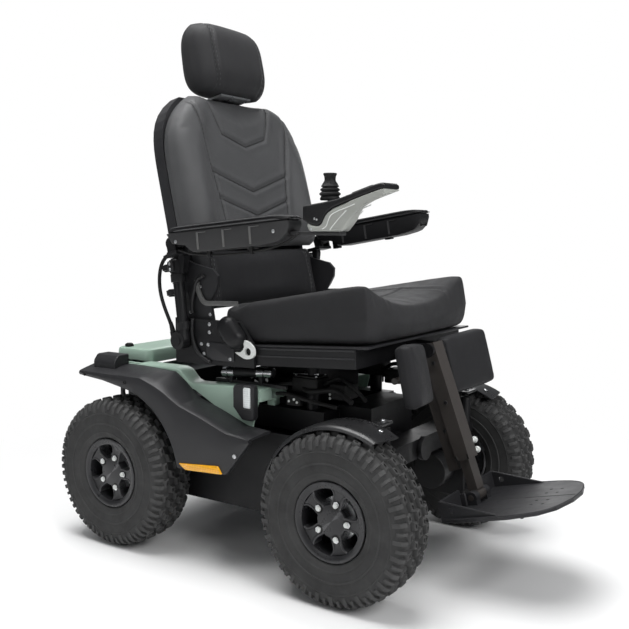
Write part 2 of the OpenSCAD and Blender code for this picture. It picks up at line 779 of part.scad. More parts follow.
// Bodywork
function shroud_top() = spread(top_shares, shroud_x0, rail_low_z, shroud_l, rail_cap_z - rail_low_z);
function shroud_skirt() = spread(skirt_shares, shroud_x0, skirt_z, shroud_l, rail_cap_z - skirt_z);
module top_shroud() {
  top = shroud_top();
  sill = [for (p = lower_first(top)) [p[0], p[1] - shroud_t]];
  color("darkseagreen") {
    both_sides() {
      slab_y(shroud_half - shroud_t, shroud_half) polygon(concat(top, shroud_skirt()));
      slab_y(shroud_in, shroud_half) polygon(concat(top, sill));
      slab_y(shroud_in, shroud_in + shroud_t) polygon(concat(top, [[shroud_x1, front_block_z0],
        [deck_x1, front_block_z0]],
        [[deck_x1, rail_cap_z - shroud_t], [shroud_x0, rail_cap_z - shroud_t]]));
      block([shroud_x1 - front_block_l, rail_out - rail_w / 2, front_block_z0],
        [shroud_x1, shroud_half - overrun, rail_low_z]);
      block([shroud_x1 - front_block_l, rail_out - rail_w / 2, rail_z1],
        [shroud_x1 - front_block_l / 2, rail_out, front_block_z0 + overrun]);
      block([deck_x0, rail_in, rail_z1], [deck_x0 + bar_w / 2, rail_out, rail_cap_z]);
    }
    block([shroud_x0, -shroud_half, rail_cap_z - shroud_t], [deck_x1, shroud_half, rail_cap_z]);
    difference() {
      block([deck_x0, -deck_half, rail_cap_z - overrun], [deck_x1, deck_half, rail_cap_z + deck_step]);
      block([deck_x0 + shroud_t, -deck_half + shroud_t, rail_cap_z - shroud_t],
        [deck_x1 - shroud_t, deck_half - shroud_t, rail_cap_z + deck_step - shroud_t]);
    }
    block([shroud_x0, -shroud_half, rail_cap_z - deck_step],
      [shroud_x0 + shroud_t, shroud_half, rail_cap_z]);
  }
}
function arch_z(x) = axle_z + sqrt(max(0, pow(arch_r, 2) - pow(x + axle_x, 2)));
function panel_x(share) = panel_x0 + share * panel_l;
function panel_z(share) = panel_z0 + share * panel_h;
function panel_foot(p) = p[0] < panel_tail_share ? panel_z(p[3])
  : max(arch_z(panel_x(p[0])), panel_z(p[3]));
module side_panel(side) {
  outer = [for (p = panel_shares) [[panel_x(p[0]), panel_in, panel_z(p[1])],
    [panel_x(p[0]), panel_out, panel_z(p[2])], [panel_x(p[0]), panel_out, panel_foot(p)]]];
  inner = [for (p = panel_shares) [[panel_x(p[0]), panel_in, panel_z(p[1]) - panel_t],
    [panel_x(p[0]), panel_out - panel_t, panel_z(p[2]) - panel_t],
      [panel_x(p[0]), panel_out - panel_t, panel_foot(p)]]];
  color("dimgray") on_side(side) sheet(outer, inner);
}
module side_panel_right() { side_panel(-1); }
module side_panel_left() { side_panel(1); }
module headlamp_pods() {
  x0 = shroud_x0 + lamp_x0_share * shroud_l;
  color("black") both_sides() slab_y(panel_in, panel_in + lamp_t)
    polygon(spread(lamp_shares, x0, lamp_z0, lamp_l_share * shroud_l, lamp_h));
}
module headlamp_lenses() {
  x0 = shroud_x0 + lamp_x0_share * shroud_l;
  y0 = panel_in + lamp_t;
  color("white") both_sides() slab_y(y0, y0 + lens_t)
    polygon(spread(lens_shares, x0, lamp_z0, lamp_l_share * shroud_l, lamp_h));
}
module tail_lamps() {
  width = (panel_out - panel_in) * tail_w_share;
  low = panel_z(1) - (panel_z(1) - panel_z(panel_shares[0][2])) * tail_w_share + gap;
  x0 = panel_x(tail_x0_share);
  color("black") both_sides() translate([x0, 0, 0]) rotate([90, 0,
    90]) linear_extrude(tail_l_share * panel_l)
    polygon([[panel_in, panel_z(1) + gap], [panel_in + width, low],
      [panel_in + width, low + tail_h * 2 / 3],
      [panel_in + width - tail_h / 3, panel_z(1) + tail_h], [panel_in, panel_z(1) + tail_h]]);
}
module reflectors() {
  color("orange") both_sides() slab_y(panel_out, panel_out + reflector_t)
    polygon([for (p = reflector_shares) [wheel_r - axle_x + p[0] * (wheelbase - 2 * wheel_r),
      panel_z(p[1])]]);
}
module deck_knobs() {
  x = deck_x0 + knob_r * 3;
  z = rail_cap_z + deck_step;
  color("black") both_sides() rod_z(x, knob_y, z, z + knob_h, knob_r);
}

// Front axle
module front_beam() {
  color("black") {
    difference() {
      block([axle_x - beam_w / 2, -beam_half, beam_z0], [axle_x + beam_w / 2, beam_half, beam_z1]);
      rod_x(axle_x - beam_w, axle_x + beam_w, 0, rock_z, rock_pin_r + fit);
    }
    both_sides() {
      hanger(axle_x, beam_z0 + overrun);
      block([axle_x, stay_y - stay_half, beam_z1 - beam_h / 2],
        [stay_x + stay_half, stay_y + stay_half, beam_z1]);
      rod_z(stay_x, stay_y, beam_z1 - overrun, stay_z1 - fender_t, stay_r);
    }
  }
}
module front_motors() { color("black") both_sides() motor(axle_x); }
module front_fender(side) {
  tab_y1 = fender_y0 + fender_t;
  color("gray") on_side(side) {
    translate([axle_x, fender_y0 + tyre_w * fender_w_share, axle_z]) rotate([90, 0, 0]) rotate(fender_a0)
      rotate_extrude(angle = fender_a1 - fender_a0) translate([fender_r0, 0]) square([fender_t,
        tyre_w * fender_w_share]);
    difference() {
      block([stay_x - stay_half, stay_y - stay_half, stay_z1 - fender_t],
        [stay_x + stay_half, tab_y1, axle_z + fender_r1]);
      difference() {
        rod_y(axle_x, stay_y - stay_half - overrun, tab_y1 + overrun, axle_z, fender_r1 + wheel_r);
        rod_y(axle_x, stay_y - stay_half - 2 * overrun, tab_y1 + 2 * overrun, axle_z, fender_r1);
      }
    }
  }
}
module front_fender_right() { front_fender(-1); }
module front_fender_left() { front_fender(1); }

// Seat
module seat_frame() {
  color("black") {
    difference() {
      union() {
        on_seat() {
          both_sides() block([seat_rail_rear, seat_rail_y0, rail_t0],
            [seat_rail_front, seat_rail_y1, rail_t1]);
          for (x = [seat_rail_rear, tilt_x - seat_bar_w / 2, stop_x - seat_bar_w / 2, seat_bar_front])
            block([x, -seat_rail_y0 - overrun, rail_t0], [x + seat_bar_w, seat_rail_y0 + overrun, rail_t1]);
        }
        both_sides() {
          block([tilt_x - lug_half / 2, lug_y, tilt_z], [tilt_x + lug_half / 2, lug_y + lug_t, seat_z
            + rail_t0]);
          rod_y(tilt_x, lug_y, lug_y + lug_t, tilt_z, lug_half);
          slab_y(hinge_y0 - overrun / 2, hinge_y1) polygon(spread(hinge_shares, hinge_x0, hinge_z0,
            hinge_l, hinge_h));
          rod_y(recline_x, hinge_y0 + hinge_t / 2, boss_y1 + overrun, recline_z, recline_pin_r);
          block([seat_rail_front - overrun, leg_w / 2 + ear_gap, leg_z - leg_ear_r * neck_share],
            [leg_x, leg_w / 2 + ear_gap + leg_ear_t, leg_z + leg_ear_r * neck_share]);
          rod_y(leg_x, leg_w / 2 + ear_gap, leg_w / 2 + ear_gap + leg_ear_t, leg_z, leg_ear_r);
        }
        rod_y(leg_x, -leg_w / 2 - ear_gap - leg_ear_t / 2, leg_w / 2 + ear_gap
          + leg_ear_t / 2, leg_z, leg_pin_r);
      }
      rod_y(tilt_x, -tower_y, tower_y, tilt_z, tilt_r + fit);
    }
  }
}
module seat_pan() {
  color("dimgray") on_seat()
    block([seat_rear, -seat_half, rail_t1], [seat_rail_front + pan_lip, seat_half, pan_top]);
}
seat_draw_share = 0.03;
seat_corner_share = 0.03;
seat_rear_corner_share = 0.2;
seat_edge_share = 0.42;
seat_seam_shares = [-0.62, 0.62];
seat_seam_half = 0.1;
seat_groove = 5;
function seat_ramp(t) = max(0, (t + 1) / 2);
function seat_place(s, t, side) = let(
    fill = full(s, 14) * full(t, 12),
    corner = t < 0 ? seat_rear_corner_share : seat_corner_share,
    rise = seat_t + bolster_h * pow(abs(s), 2) * seat_ramp(t),
    seam = seat_groove * max([for (a = seat_seam_shares) groove(s, a, seat_seam_half)]),
    edge = rise * seat_edge_share)
  [seat_rear + cushion_back + seat_l * (1 + t * (1 - corner * pow(abs(s), 8))) / 2,
   seat_half * s * (1 - seat_corner_share * pow(max(0, t), 8)) * (1 - seat_draw_share * (1 - pow(t, 2))),
   pan_top + gap + (side > 0 ? edge + band + (rise - edge - band) * fill - seam * full(t, 9)
     : edge * (1 - full(s, 14) * full(t, 14)))];
module seat_cushion() {
  color("darkslategray") on_seat() pillow(20, 16, function(s, t, side) seat_place(s, t, side));
}
module recline_covers() {
  color("black") both_sides() hull() {
    rod_y(cover_x, hinge_y1, hinge_y1 + cover_t, cover_z, cover_r, $fn = 32);
    rod_y(cover_x - cover_run, hinge_y1, hinge_y1 + cover_t / 2, cover_z + cover_rise, cover_r, $fn = 32);
  }
}
module recline_quadrants() {
  color("silver") both_sides() difference() {
    union() {
      rod_y(quadrant_x, hinge_y1, hinge_y1 + quadrant_t, quadrant_z, quadrant_r);
      block([quadrant_x - quadrant_r * 2, hinge_y1, quadrant_z - quadrant_r],
        [quadrant_x, hinge_y1 + quadrant_t, quadrant_z]);
    }
    rod_y(quadrant_x, hinge_y1 - overrun, hinge_y1 + quadrant_t + overrun, quadrant_z, quadrant_hole_r);
    rod_y(cover_x, hinge_y1 - overrun, hinge_y1 + cover_t + overrun, cover_z, cover_r + gap);
  }
}

// Back
module back_frame() {
  color("black") difference() {
    union() {
      both_sides() rod_y(recline_x, hinge_y1 + gap, boss_y1, recline_z, boss_r);
      on_back() {
        both_sides() translate([cane_foot_u, cane_y, 0]) rotate([0, cane_lean, 0])
          cylinder(h = cane_top - cane_r * sin(cane_lean) - gap, r = cane_r);
        for (up = back_bars) both_sides() block([back_bar_u, cane_y - stub_half, up - stub_half],
          [cane_u(up), cane_y + stub_half, up + stub_half]);
        for (up = back_bars) rod_y(back_bar_u, -bar_y, bar_y, up, back_bar_r);
        translate([cord_route[len(cord_route) - 1][0], -cane_y, 0]) {
          translate([0, 0, -grommet_r]) cylinder(h = cord_route[len(cord_route) - 1][2]
            + grommet_r - gap, r = grommet_r);
          block([0, -grommet_r / 2, -grommet_r], [boss_r, grommet_r / 2, 0]);
        }
      }
    }
    both_sides() rod_y(recline_x, hinge_y0, boss_y1 + overrun, recline_z, recline_pin_r + fit);
  }
}
// Half width of the back at a height share from its bottom to its top
back_straight_share = 0.55;
back_taper_share = 0.45;
back_power = 3.4;
function back_width(t) = back_half * (t < back_straight_share ? 1
  : 1 - back_taper_share * pow((t - back_straight_share) / (1 - back_straight_share), back_power));
shell_taper_share = 0.36;
shell_power = 4.4;
shell_rise = 2;
function shell_width(t) = (back_half - shell_inset) * (t < back_straight_share ? 1
  : 1 - shell_taper_share * pow((t - back_straight_share) / (1 - back_straight_share), shell_power));
shell_steps = 24;
module shell_outline(inset) {
  top = back_top + shell_rise - inset;
  low = shell_low + inset;
  right = [for (k = [0 : shell_steps]) let(t = k / shell_steps)
    [low + (top - low) * t, shell_width(t) - inset]];
  polygon(concat(right, [for (p = lower_first(right)) [p[0], -p[1]]]));
}
// The outline is drawn along the back and across it, and thickened forward
module shell_slab(u0, u1, inset) {
  translate([u1, 0, 0]) rotate([0, -90, 0]) linear_extrude(u1 - u0) shell_outline(inset);
}
module back_shell() {
  color("black") on_back() difference() {
    union() {
      difference() {
        shell_slab(shell_u0, shell_u1, 0);
        shell_slab(shell_u0 + shell_skin, shell_u1 + overrun, shell_rim);
      }
      both_sides() rod_z(head_post_u, head_post_y, head_post_low - overrun,
        back_top - shell_inset - overrun, head_guide_r);
      both_sides() slab_y(flange_y1 - flange_t, flange_y1)
        polygon(spread(flange_shares, shell_u0 + flange_step, flange_low, flange_l, flange_h));
    }
    both_sides() rod_z(head_post_u, head_post_y, head_post_low, back_top + shell_rise + overrun, post_r
      + fit);
  }
}
back_vee_share = 0.16;
back_soft_share = 0.1;
back_line_share = 0.07;
back_seam_share = 0.62;
back_vee_shares = [0.30, 0.62];
back_groove = 6;
back_dish = 16;
back_edge_share = 0.35;
// How squarely the cushion sits on the shell's rim
back_seat_sharp = 60;
function back_place(s, t, side) = let(
    rise = (t + 1) / 2,
    h = back_top - pad_split - pad_seam,
    vee = back_vee_share * (1 - min(1, abs(s) / back_seam_share)) * full(t, 4),
    fill = full(s, 8) * full(t, 8),
    panel = abs(s) < back_seam_share ? 1 : max(0, 1 - (abs(s) - back_seam_share) / back_soft_share),
    seams = panel * max([for (a = back_vee_shares) groove(rise, a + back_line_share, back_line_share)]),
    edge = back_t * back_edge_share)
  [pad_u0 + (side > 0 ? edge + band + (back_t - edge - band) * fill - (back_dish * panel
    + back_groove * seams) * full(t, 6)
     : edge * (1 - full(s, back_seat_sharp) * full(t, back_seat_sharp))),
   back_width((pad_split + rise * h - pad_low) / (back_top - pad_low)) * s,
   pad_split + pad_seam + h * (rise - vee * rise)];
module back_cushion() {
  color("darkslategray") on_back() pillow(18, 22, function(s, t, side) back_place(s, t, side));
}
function lumbar_place(s, t, side) = let(
    fill = full(s, 8) * full(t, 8),
    edge = lumbar_t * back_edge_share)
  [pad_u0 + (side > 0 ? edge + band + (lumbar_t - edge - band) * fill
    : edge * (1 - full(s, 14) * full(t, 14))),
   (back_half - lumbar_inset) * s * (1 - seat_draw_share * (1 - pow(t, 2))),
   lumbar_low + (pad_split - pad_seam - lumbar_low) * (t + 1) / 2];
module lumbar_pad() {
  color("darkslategray") on_back() pillow(14, 8, function(s, t, side) lumbar_place(s, t, side));
}
module arm_brackets() {
  ear_y = arm_y - arm_lug_w / 2 - ear_gap - ear_t;
  far_y = arm_y + arm_lug_w / 2 + ear_gap;
  color("black") on_back() {
    both_sides() {
      block([cane_u(cane_top) - cane_r, cane_y - cane_r, cane_top + gap], [arm_u + ear_r, cane_y + cane_r,
        cane_top + ear_t]);
      block([arm_u - ear_r, cane_y - cane_r, cane_top + gap], [arm_u + ear_r, far_y + ear_t + overrun,
        cane_top + ear_t]);
      for (y = [ear_y, far_y]) {
        rod_y(arm_u, y, y + ear_t, arm_up, ear_r);
        block([arm_u - ear_r * neck_share, y, cane_top + ear_t / 2],
          [arm_u + ear_r * neck_share, y + ear_t, arm_up]);
      }
      rod_y(arm_u, ear_y + ear_t / 2, far_y + ear_t / 2, arm_up, arm_pin_r);
      slab_y(cane_y - gusset_half, cane_y + gusset_half) polygon(spread(gusset_shares, cane_u(cane_top)
        + cane_r + gap * 2, cane_top + ear_t / 2 - gusset_h, arm_u - cane_u(cane_top) - cane_r, gusset_h));
    }
    translate(cord_route[0] + [gap, 0, -ear_t / 2])
      block([0, -gland_r, -gland_r / 2], [gland_l, gland_r, gland_r * 2]);
  }
}

// Joystick lead: a tube swept along its route
cord_sides = 10;
function cord_ring(k) = let(
    last = len(cord_route) - 1,
    ahead = cord_route[min(k + 1, last)] - cord_route[max(k - 1, 0)],
    along = k == 0 ? [-1, 0, 0] : k == last ? [0, 0, -1] : ahead / norm(ahead),
    across = [0, 1, 0],
    up = cross(along, across))
  [for (i = [0 : cord_sides - 1]) let(a = 360 * i / cord_sides)
    cord_route[k] + cord_r * (cos(a) * across + sin(a) * up)];
module joystick_cable() {
  rings = [for (k = [0 : len(cord_route) - 1]) cord_ring(k)];
  n = cord_sides;
  last = len(rings) - 1;
  faces = concat([[for (i = [0 : n - 1]) i]], [[for (i = [n - 1 : -1 : 0]) last * n + i]],
    [for (k = [0 : last - 1]) for (i = [0 : n - 1]) let(a = k * n + i, b = k * n + (i + 1) % n)
      each [[a, a + n, b + n], [a, b + n, b]]]);
  color("black") on_back() polyhedron(points = [for (r = rings) for (p = r) p],
    faces = faces, convexity = 6);
}

// Headrest
module headrest_posts() {
  color("silver") on_back() {
    both_sides() rod_z(head_post_u, head_post_y, head_post_low
      + post_r, head_low - head_plate_t / 2, post_r);
    block([head_u0, -head_post_y - post_r * 2, head_low - head_plate_t],
      [head_u0 + head_t * 2 / 3, head_post_y + post_r * 2, head_low]);
  }
}
head_edge_share = 0.5;
head_round_share = 0.2;
head_crown_share = 0.05;
function head_place(s, t, side) = let(
    fill = full(s, 3.2) * full(t, 3.2),
    round_s = 1 - head_round_share * pow(abs(t), 4),
    mid = head_u0 + head_t * head_edge_share)
  [mid + (side > 0 ? band + (head_t * (1 - head_edge_share) - band) * fill
     : -band - (head_t * head_edge_share - band) * fill),
   head_w / 2 * s * round_s,
   head_low + gap + head_h * (1 + t * (1 - head_crown_share * pow(abs(s), 4))) / 2];
module headrest_pad() {
  color("darkslategray") on_back() pillow(14, 12, function(s, t, side) head_place(s, t, side));
}

// Arms
module arm_shell(side) {
  color("black") on_side(side) difference() {
    union() {
      on_arm(side) translate([0, arm_y, 0]) {
        slab_y(-arm_w / 2 + shroud_t / 2, arm_w / 2 - shroud_t / 2)
          polygon(spread(arm_shell_shares, 0, -shell_floor, arm_shell_l, arm_deck + shell_floor));
        block([-ear_r * neck_share, -arm_lug_w / 2, 0], [ear_r * neck_share, arm_lug_w / 2, arm_deck]);
        rod_y(0, -arm_lug_w / 2, arm_lug_w / 2, 0, ear_r);
      }
      if (side < 0) block([arm_front - bracket_in, arm_y - bracket_w / 2, pod_z0 - bracket_t],
        [pod_x0 + bracket_run, arm_y + bracket_w / 2, pod_z0]);
    }
    rod_y(arm_x, arm_y - arm_lug_w, arm_y + arm_lug_w, arm_z, arm_pin_r + fit);
    for (edge = [-1, 1]) on_arm(side) translate([0, arm_y + edge * (arm_lug_w / 2 + ear_t / 2 + ear_gap),
      0])
      block([-ear_r * 2, -ear_t / 2 - ear_gap, -ear_r * 2], [ear_r * slot_share, ear_t / 2
        + ear_gap, arm_deck - overrun]);
  }
}
module arm_shell_right() { arm_shell(-1); }
module arm_shell_left() { arm_shell(1); }
arm_edge_share = 0.4;
arm_round_shares = [0.25, 0.3];
function arm_place(s, t, side) = let(
    fill = full(s, 5) * full(t, 12),
    edge = arm_pad_t * arm_edge_share)
  [-arm_tail + arm_l * (1 + t) / 2,
   arm_y + arm_w / 2 * s * (1 - arm_round_shares[0] * pow(max(0, t),
     12) - arm_round_shares[1] * pow(max(0, -t), 12)),
   arm_deck + gap + (side > 0 ? edge + band + (arm_pad_t - edge - band) * fill
     : edge * (1 - full(s, 14) * full(t, 20)))];
module arm_pad(side) {
  color("darkslategray") on_side(side) on_arm(side) pillow(8, 18, function(s, t, face) arm_place(s, t,
    face));
}
module arm_pad_right() { arm_pad(-1); }
module arm_pad_left() { arm_pad(1); }

// Joystick pod on the right armrest
module on_pod_top(share) {
  x = pod_x0 + share * pod_l;
  along = (share - pod_low_share[0]) / (pod_high_share[0] - pod_low_share[0]);
  z = pod_z0 + pod_h * (pod_low_share[1] + (pod_high_share[1] - pod_low_share[1]) * along);
  translate([x, -arm_y, z]) rotate([0, -pod_slope, 0]) children();
}
module stick_well() {
  rod_z(stick_x, -arm_y, stick_z - stick_well_r / 2, pod_z0 + pod_h, stick_well_r);
  rod_x(stick_x - ring_pin_l - gap, stick_x + ring_pin_l + gap, -arm_y, stick_z, ring_pin_r + fit);
}
module pod_keel() {
  color("silver") difference() {
    slab_y(-arm_y - pod_w / 2, -arm_y + pod_w / 2)
      polygon(concat(spread(pod_keel_shares, pod_x0, pod_z0, pod_l, pod_h),
        spread(pod_split_shares, pod_x0, pod_z0 - gap, pod_l, pod_h)));
    stick_well();
  }
}
module pod_cover() {
  color("black") difference() {
    slab_y(-arm_y - pod_w / 2 + gap, -arm_y + pod_w / 2 - gap)
      polygon(concat(spread(pod_top_shares, pod_x0, pod_z0, pod_l, pod_h),
        spread(pod_split_shares, pod_x0, pod_z0, pod_l, pod_h)));
    stick_well();
    for (y = [-button_y, button_y]) on_pod_top(button_x_share)
      translate([0, y, -button_h]) cylinder(h = button_h + overrun, r = button_r + gap);
  }
}
module pod_screen() {
  color("darkblue") on_pod_top(screen_x_share)
    block([-screen_l / 2, -screen_w / 2, gap], [screen_l / 2, screen_w / 2, screen_t + gap]);
}
module button(y) {
  color("gray") on_pod_top(button_x_share) translate([0, y, button_proud - button_h + overrun])
    cylinder(h = button_h - overrun, r = button_r);
}
module power_button() { button(button_y); }
module mode_button() { button(-button_y); }
module gimbal_ring() {
  color("gray") difference() {
    union() {
      rod_z(stick_x, -arm_y, stick_z - ring_t / 2, stick_z + ring_t / 2, ring_r1);
      rod_x(stick_x - ring_pin_l, stick_x + ring_pin_l, -arm_y, stick_z, ring_pin_r);
    }
    rod_z(stick_x, -arm_y, stick_z - ring_t, stick_z + ring_t, ring_r0);
    rod_y(stick_x, -arm_y - ring_r1 - overrun, -arm_y + ring_r1 + overrun, stick_z, ring_pin_r + fit);
  }
}
module joystick_knob() {
  top = stick_z + boot_rise + boot_h + knob_l;
  color("black") {
    translate([stick_x, -arm_y, stick_z]) sphere(r = ball_r);
    rod_y(stick_x, -arm_y - ring_r1, -arm_y + ring_r1, stick_z, ring_pin_r);
    rod_z(stick_x, -arm_y, stick_z, top - overrun, stick_r);
    translate([stick_x, -arm_y, top - knob_l + gap]) rotate_extrude() polygon([[0, 0],
      [knob_top_r + gap, 0],
      [knob_neck_r, knob_l * knob_shares[0]], [knob_neck_r, knob_l * knob_shares[1]],
        [knob_top_r, knob_l * knob_shares[2]],
      [knob_top_r * knob_shares[2], knob_l - gap], [0, knob_l - gap]]);
  }
}
boot_folds = 3;
module joystick_boot() {
  low = stick_z + boot_rise;
  fold = boot_h / boot_folds;
  rings = [for (k = [0 : boot_folds - 1]) each [[boot_r - boot_step * k, fold * k],
    [boot_r - boot_step * k, fold * (k + fold_shares[0])], [boot_r * boot_neck_share, fold * (k
      + fold_shares[1])]]];
  color("black") translate([stick_x, -arm_y, low]) rotate_extrude()
    polygon(concat([[stick_r + gap, 0]], rings, [[boot_r * boot_neck_share, boot_h],
      [stick_r + gap, boot_h]]));
}

// Legrest
module legrest_column() {
  color("black") on_leg() difference() {
    union() {
      block([-leg_d / 2, -leg_w / 2, -leg_l], [leg_d / 2, leg_w / 2, leg_head]);
      block([calf_rod_u - calf_rod_r, -leg_w / 4, -calf_down - calf_rod_r],
        [0, leg_w / 4, -calf_down + calf_rod_r]);
      block([-leg_d / 2 - strut_gap - strut_d, -strut_w / 2, -strut_l],
        [-leg_d / 2 - strut_gap, strut_w / 2, -strut_top]);
      for (down = [strut_top + strut_tie, strut_low_tie])
        block([-leg_d / 2 - strut_gap - strut_tie / 2, -strut_w / 4, -down - strut_tie],
          [-leg_d / 4, strut_w / 4, -down]);
      rod_y(calf_rod_u, -calf_y - calf_rod_r, calf_y + calf_rod_r, -calf_down, calf_rod_r);
      both_sides() rod_x(calf_rod_u, calf_u - calf_t / 2 / (cos(calf_yaw) * cos(calf_pitch)) - gap
        - calf_rod_r * (tan(calf_yaw) + tan(calf_pitch)), calf_y, -calf_down, calf_rod_r);
    }
    block([-inner_d / 2 - gap, -inner_w / 2 - gap, -leg_l - overrun],
      [inner_d / 2 + gap, inner_w / 2 + gap, -leg_head]);
    rod_y(0, -leg_w, leg_w, 0, leg_pin_r + fit);
  }
}
calf_edge_share = 0.45;
calf_round_share = 0.07;
function calf_place(s, t, side) = let(
    fill = full(s, 7) * full(t, 7),
    edge = calf_t * calf_edge_share)
  [-calf_t / 2 + (side > 0 ? edge + band + (calf_t - edge - band) * fill
    : edge * (1 - full(s, 14) * full(t, 14))),
   calf_w / 2 * s * (1 - calf_round_share * pow(abs(t), 8)) * (1 - seat_draw_share * (1 - pow(t, 2))),
   calf_h / 2 * t * (1 - calf_round_share * pow(abs(s), 8))];
module calf_pads() {
  color("darkslategray") on_leg() both_sides() translate([calf_u, calf_y, -calf_down]) rotate([0,
    calf_pitch, -calf_yaw])
    pillow(10, 10, function(s, t, side) calf_place(s, t, side));
}
module leg_slider() {
  color("dimgray") on_leg() {
    difference() {
      block([-inner_d / 2, -inner_w / 2, -inner_low], [inner_d / 2, inner_w / 2, -inner_top]);
      block([-inner_d / 2 + tray_wall, -inner_w / 2 + tray_wall, -inner_low + foot_lug_r],
        [inner_d / 2 - tray_wall, inner_w / 2 - tray_wall, -inner_top + overrun]);
    }
    rod_y(0, -inner_w / 2, inner_w / 2, -foot_drop, foot_lug_r);
    rod_y(0, -inner_w / 2 - foot_knuckle_w - overrun, inner_w / 2 + foot_knuckle_w
      + overrun, -foot_drop, foot_pin_r);
  }
}
module footplate() {
  outline = [for (p = foot_outline_shares) [p[0] * foot_l, p[1] * foot_half]];
  rear_half = foot_half * foot_outline_shares[1][1];
  wall_top = foot_plate_z + foot_plate_t;
  color("black") on_foot() difference() {
    union() {
      translate([0, 0, foot_plate_z]) linear_extrude(foot_plate_t) polygon(outline);
      both_sides() {
        block([-foot_rear, foot_notch, foot_plate_z], [-foot_rear + foot_wall_t, rear_half, wall_top
          + foot_wall_h]);
        slab_y(rear_half - foot_wall_t, rear_half) polygon([[-foot_rear, foot_plate_z + overrun],
          [foot_l * foot_side_shares[0], foot_plate_z + overrun],
          [foot_l * foot_side_shares[1], wall_top], [-foot_rear, wall_top + foot_wall_h]]);
        rod_y(0, inner_w / 2 + ear_gap, inner_w / 2 + ear_gap + foot_knuckle_w, 0, foot_lug_r);
        block([-foot_lug_r * neck_share, inner_w / 2 + ear_gap, foot_plate_z],
          [foot_lug_r * neck_share, inner_w / 2 + ear_gap + foot_knuckle_w, 0]);
      }
    }
    rod_y(0, -foot_half, foot_half, 0, foot_pin_r + fit);
  }
}

in_frame() chassis_frame();
in_frame() battery_tray();
in_frame() batteries();
in_frame() controller_box();
in_frame() rear_motors();
in_frame() seat_tower();
in_frame() tilt_shaft();
in_frame() top_shroud();
in_frame() side_panel_right();
in_frame() side_panel_left();
in_frame() headlamp_pods();
in_frame() headlamp_lenses();
in_frame() tail_lamps();
in_frame() reflectors();
in_frame() deck_knobs();
in_frame() front_beam();
in_frame() front_motors();
in_frame() front_fender_right();
in_frame() front_fender_left();
in_frame() tyre_fr();
in_frame() rim_fr();
in_frame() hub_fr();
in_frame() tyre_fl();
in_frame() rim_fl();
in_frame() hub_fl();
in_frame() tyre_rr();
in_frame() rim_rr();
in_frame() hub_rr();
in_frame() tyre_rl();
in_frame() rim_rl();
in_frame() hub_rl();
in_frame() seat_frame();
in_frame() seat_pan();
in_frame() seat_cushion();
in_frame() recline_covers();
in_frame() recline_quadrants();
in_frame() back_frame();
in_frame() back_shell();
in_frame() back_cushion();
in_frame() lumbar_pad();
in_frame() arm_brackets();
in_frame() joystick_cable();
in_frame() headrest_posts();
in_frame() headrest_pad();
in_frame() arm_shell_right();
in_frame() arm_pad_right();
in_frame() arm_shell_left();
in_frame() arm_pad_left();
in_frame() pod_keel();
in_frame() pod_cover();
in_frame() pod_screen();
in_frame() gimbal_ring();
in_frame() joystick_knob();
in_frame() joystick_boot();
in_frame() power_button();
in_frame() mode_button();
in_frame() legrest_column();
in_frame() calf_pads();
in_frame() leg_slider();
in_frame() footplate();
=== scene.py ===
"""All terrain power wheelchair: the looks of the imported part, in metres, in the part's own frame."""
import bmesh
import bpy
import json
import math
import numpy as np
from mathutils import Matrix, Vector
from mathutils.bvhtree import BVHTree


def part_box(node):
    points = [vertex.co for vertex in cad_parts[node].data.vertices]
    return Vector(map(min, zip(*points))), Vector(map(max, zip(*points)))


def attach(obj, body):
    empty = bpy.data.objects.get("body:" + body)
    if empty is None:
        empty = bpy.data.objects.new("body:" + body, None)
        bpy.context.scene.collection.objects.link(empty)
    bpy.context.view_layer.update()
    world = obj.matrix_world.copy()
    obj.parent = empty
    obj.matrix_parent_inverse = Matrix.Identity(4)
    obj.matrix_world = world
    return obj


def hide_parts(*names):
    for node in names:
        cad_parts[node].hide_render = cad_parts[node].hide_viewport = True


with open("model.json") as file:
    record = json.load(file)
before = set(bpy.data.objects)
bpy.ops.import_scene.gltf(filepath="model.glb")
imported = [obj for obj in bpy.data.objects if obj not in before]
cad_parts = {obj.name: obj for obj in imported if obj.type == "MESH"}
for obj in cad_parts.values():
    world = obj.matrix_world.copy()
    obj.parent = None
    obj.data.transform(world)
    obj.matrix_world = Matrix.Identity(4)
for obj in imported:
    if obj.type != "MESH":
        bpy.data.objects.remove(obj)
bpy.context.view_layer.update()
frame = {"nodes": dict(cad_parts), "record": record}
scene = bpy.context.scene
PI = math.pi
SIDES = ((-1, "right"), (1, "left"))


def middle_x(node):
    low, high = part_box(node)
    return (low[0] + high[0]) / 2


# The chair's own origin is between the axles; sizes below are in mm from there, as in the part's source
SHIFT = (middle_x("tyre_fr") + middle_x("tyre_rr")) / 2


def polar(r, a):
    return r * math.cos(a), r * math.sin(a)


def place(ox, oz, deg):
    """Placing function of a frame turned about y: takes mm forward, left and up, gives metres."""
    c, s = polar(1, math.radians(deg))
    return lambda u, y, w: ((ox + u * c - w * s) / 1000 + SHIFT, y / 1000, (oz + u * s + w * c) / 1000)


chair = place(0, 0, 0)
seat = place(0, 480, 3.2)
back = place(-140, 500, 12.5)
arms = {-1: place(-127.74, 721.91, 5), 1: place(-127.74, 721.91, 9)}
leg = place(366, 488, 20)
foot = place(478.87, 177.9, 14)
AXLE, WHEEL_Y, WHEEL_R = 311, 291.5, 178
POD_X, ARM_Y, POD_Z = 236, 292.8, 749
CANE_Y, CANE_TOP, CANE_FOOT, CANE_LEAN = 269, 188, 12, math.radians(5.5)


def flank(side, to=chair):
    """Placing function whose y runs outwards on one side of the chair."""
    return lambda x, y, z: to(x, side * y, z)


def shifted(to, x=0, y=0, z=0):
    return lambda p, a, q: to(x + p, y + a, z + q)


def upright(to, x, y, z):
    """The same for a turned form whose axis points up."""
    return lambda p, a, q: to(x + p, y + q, z + a)


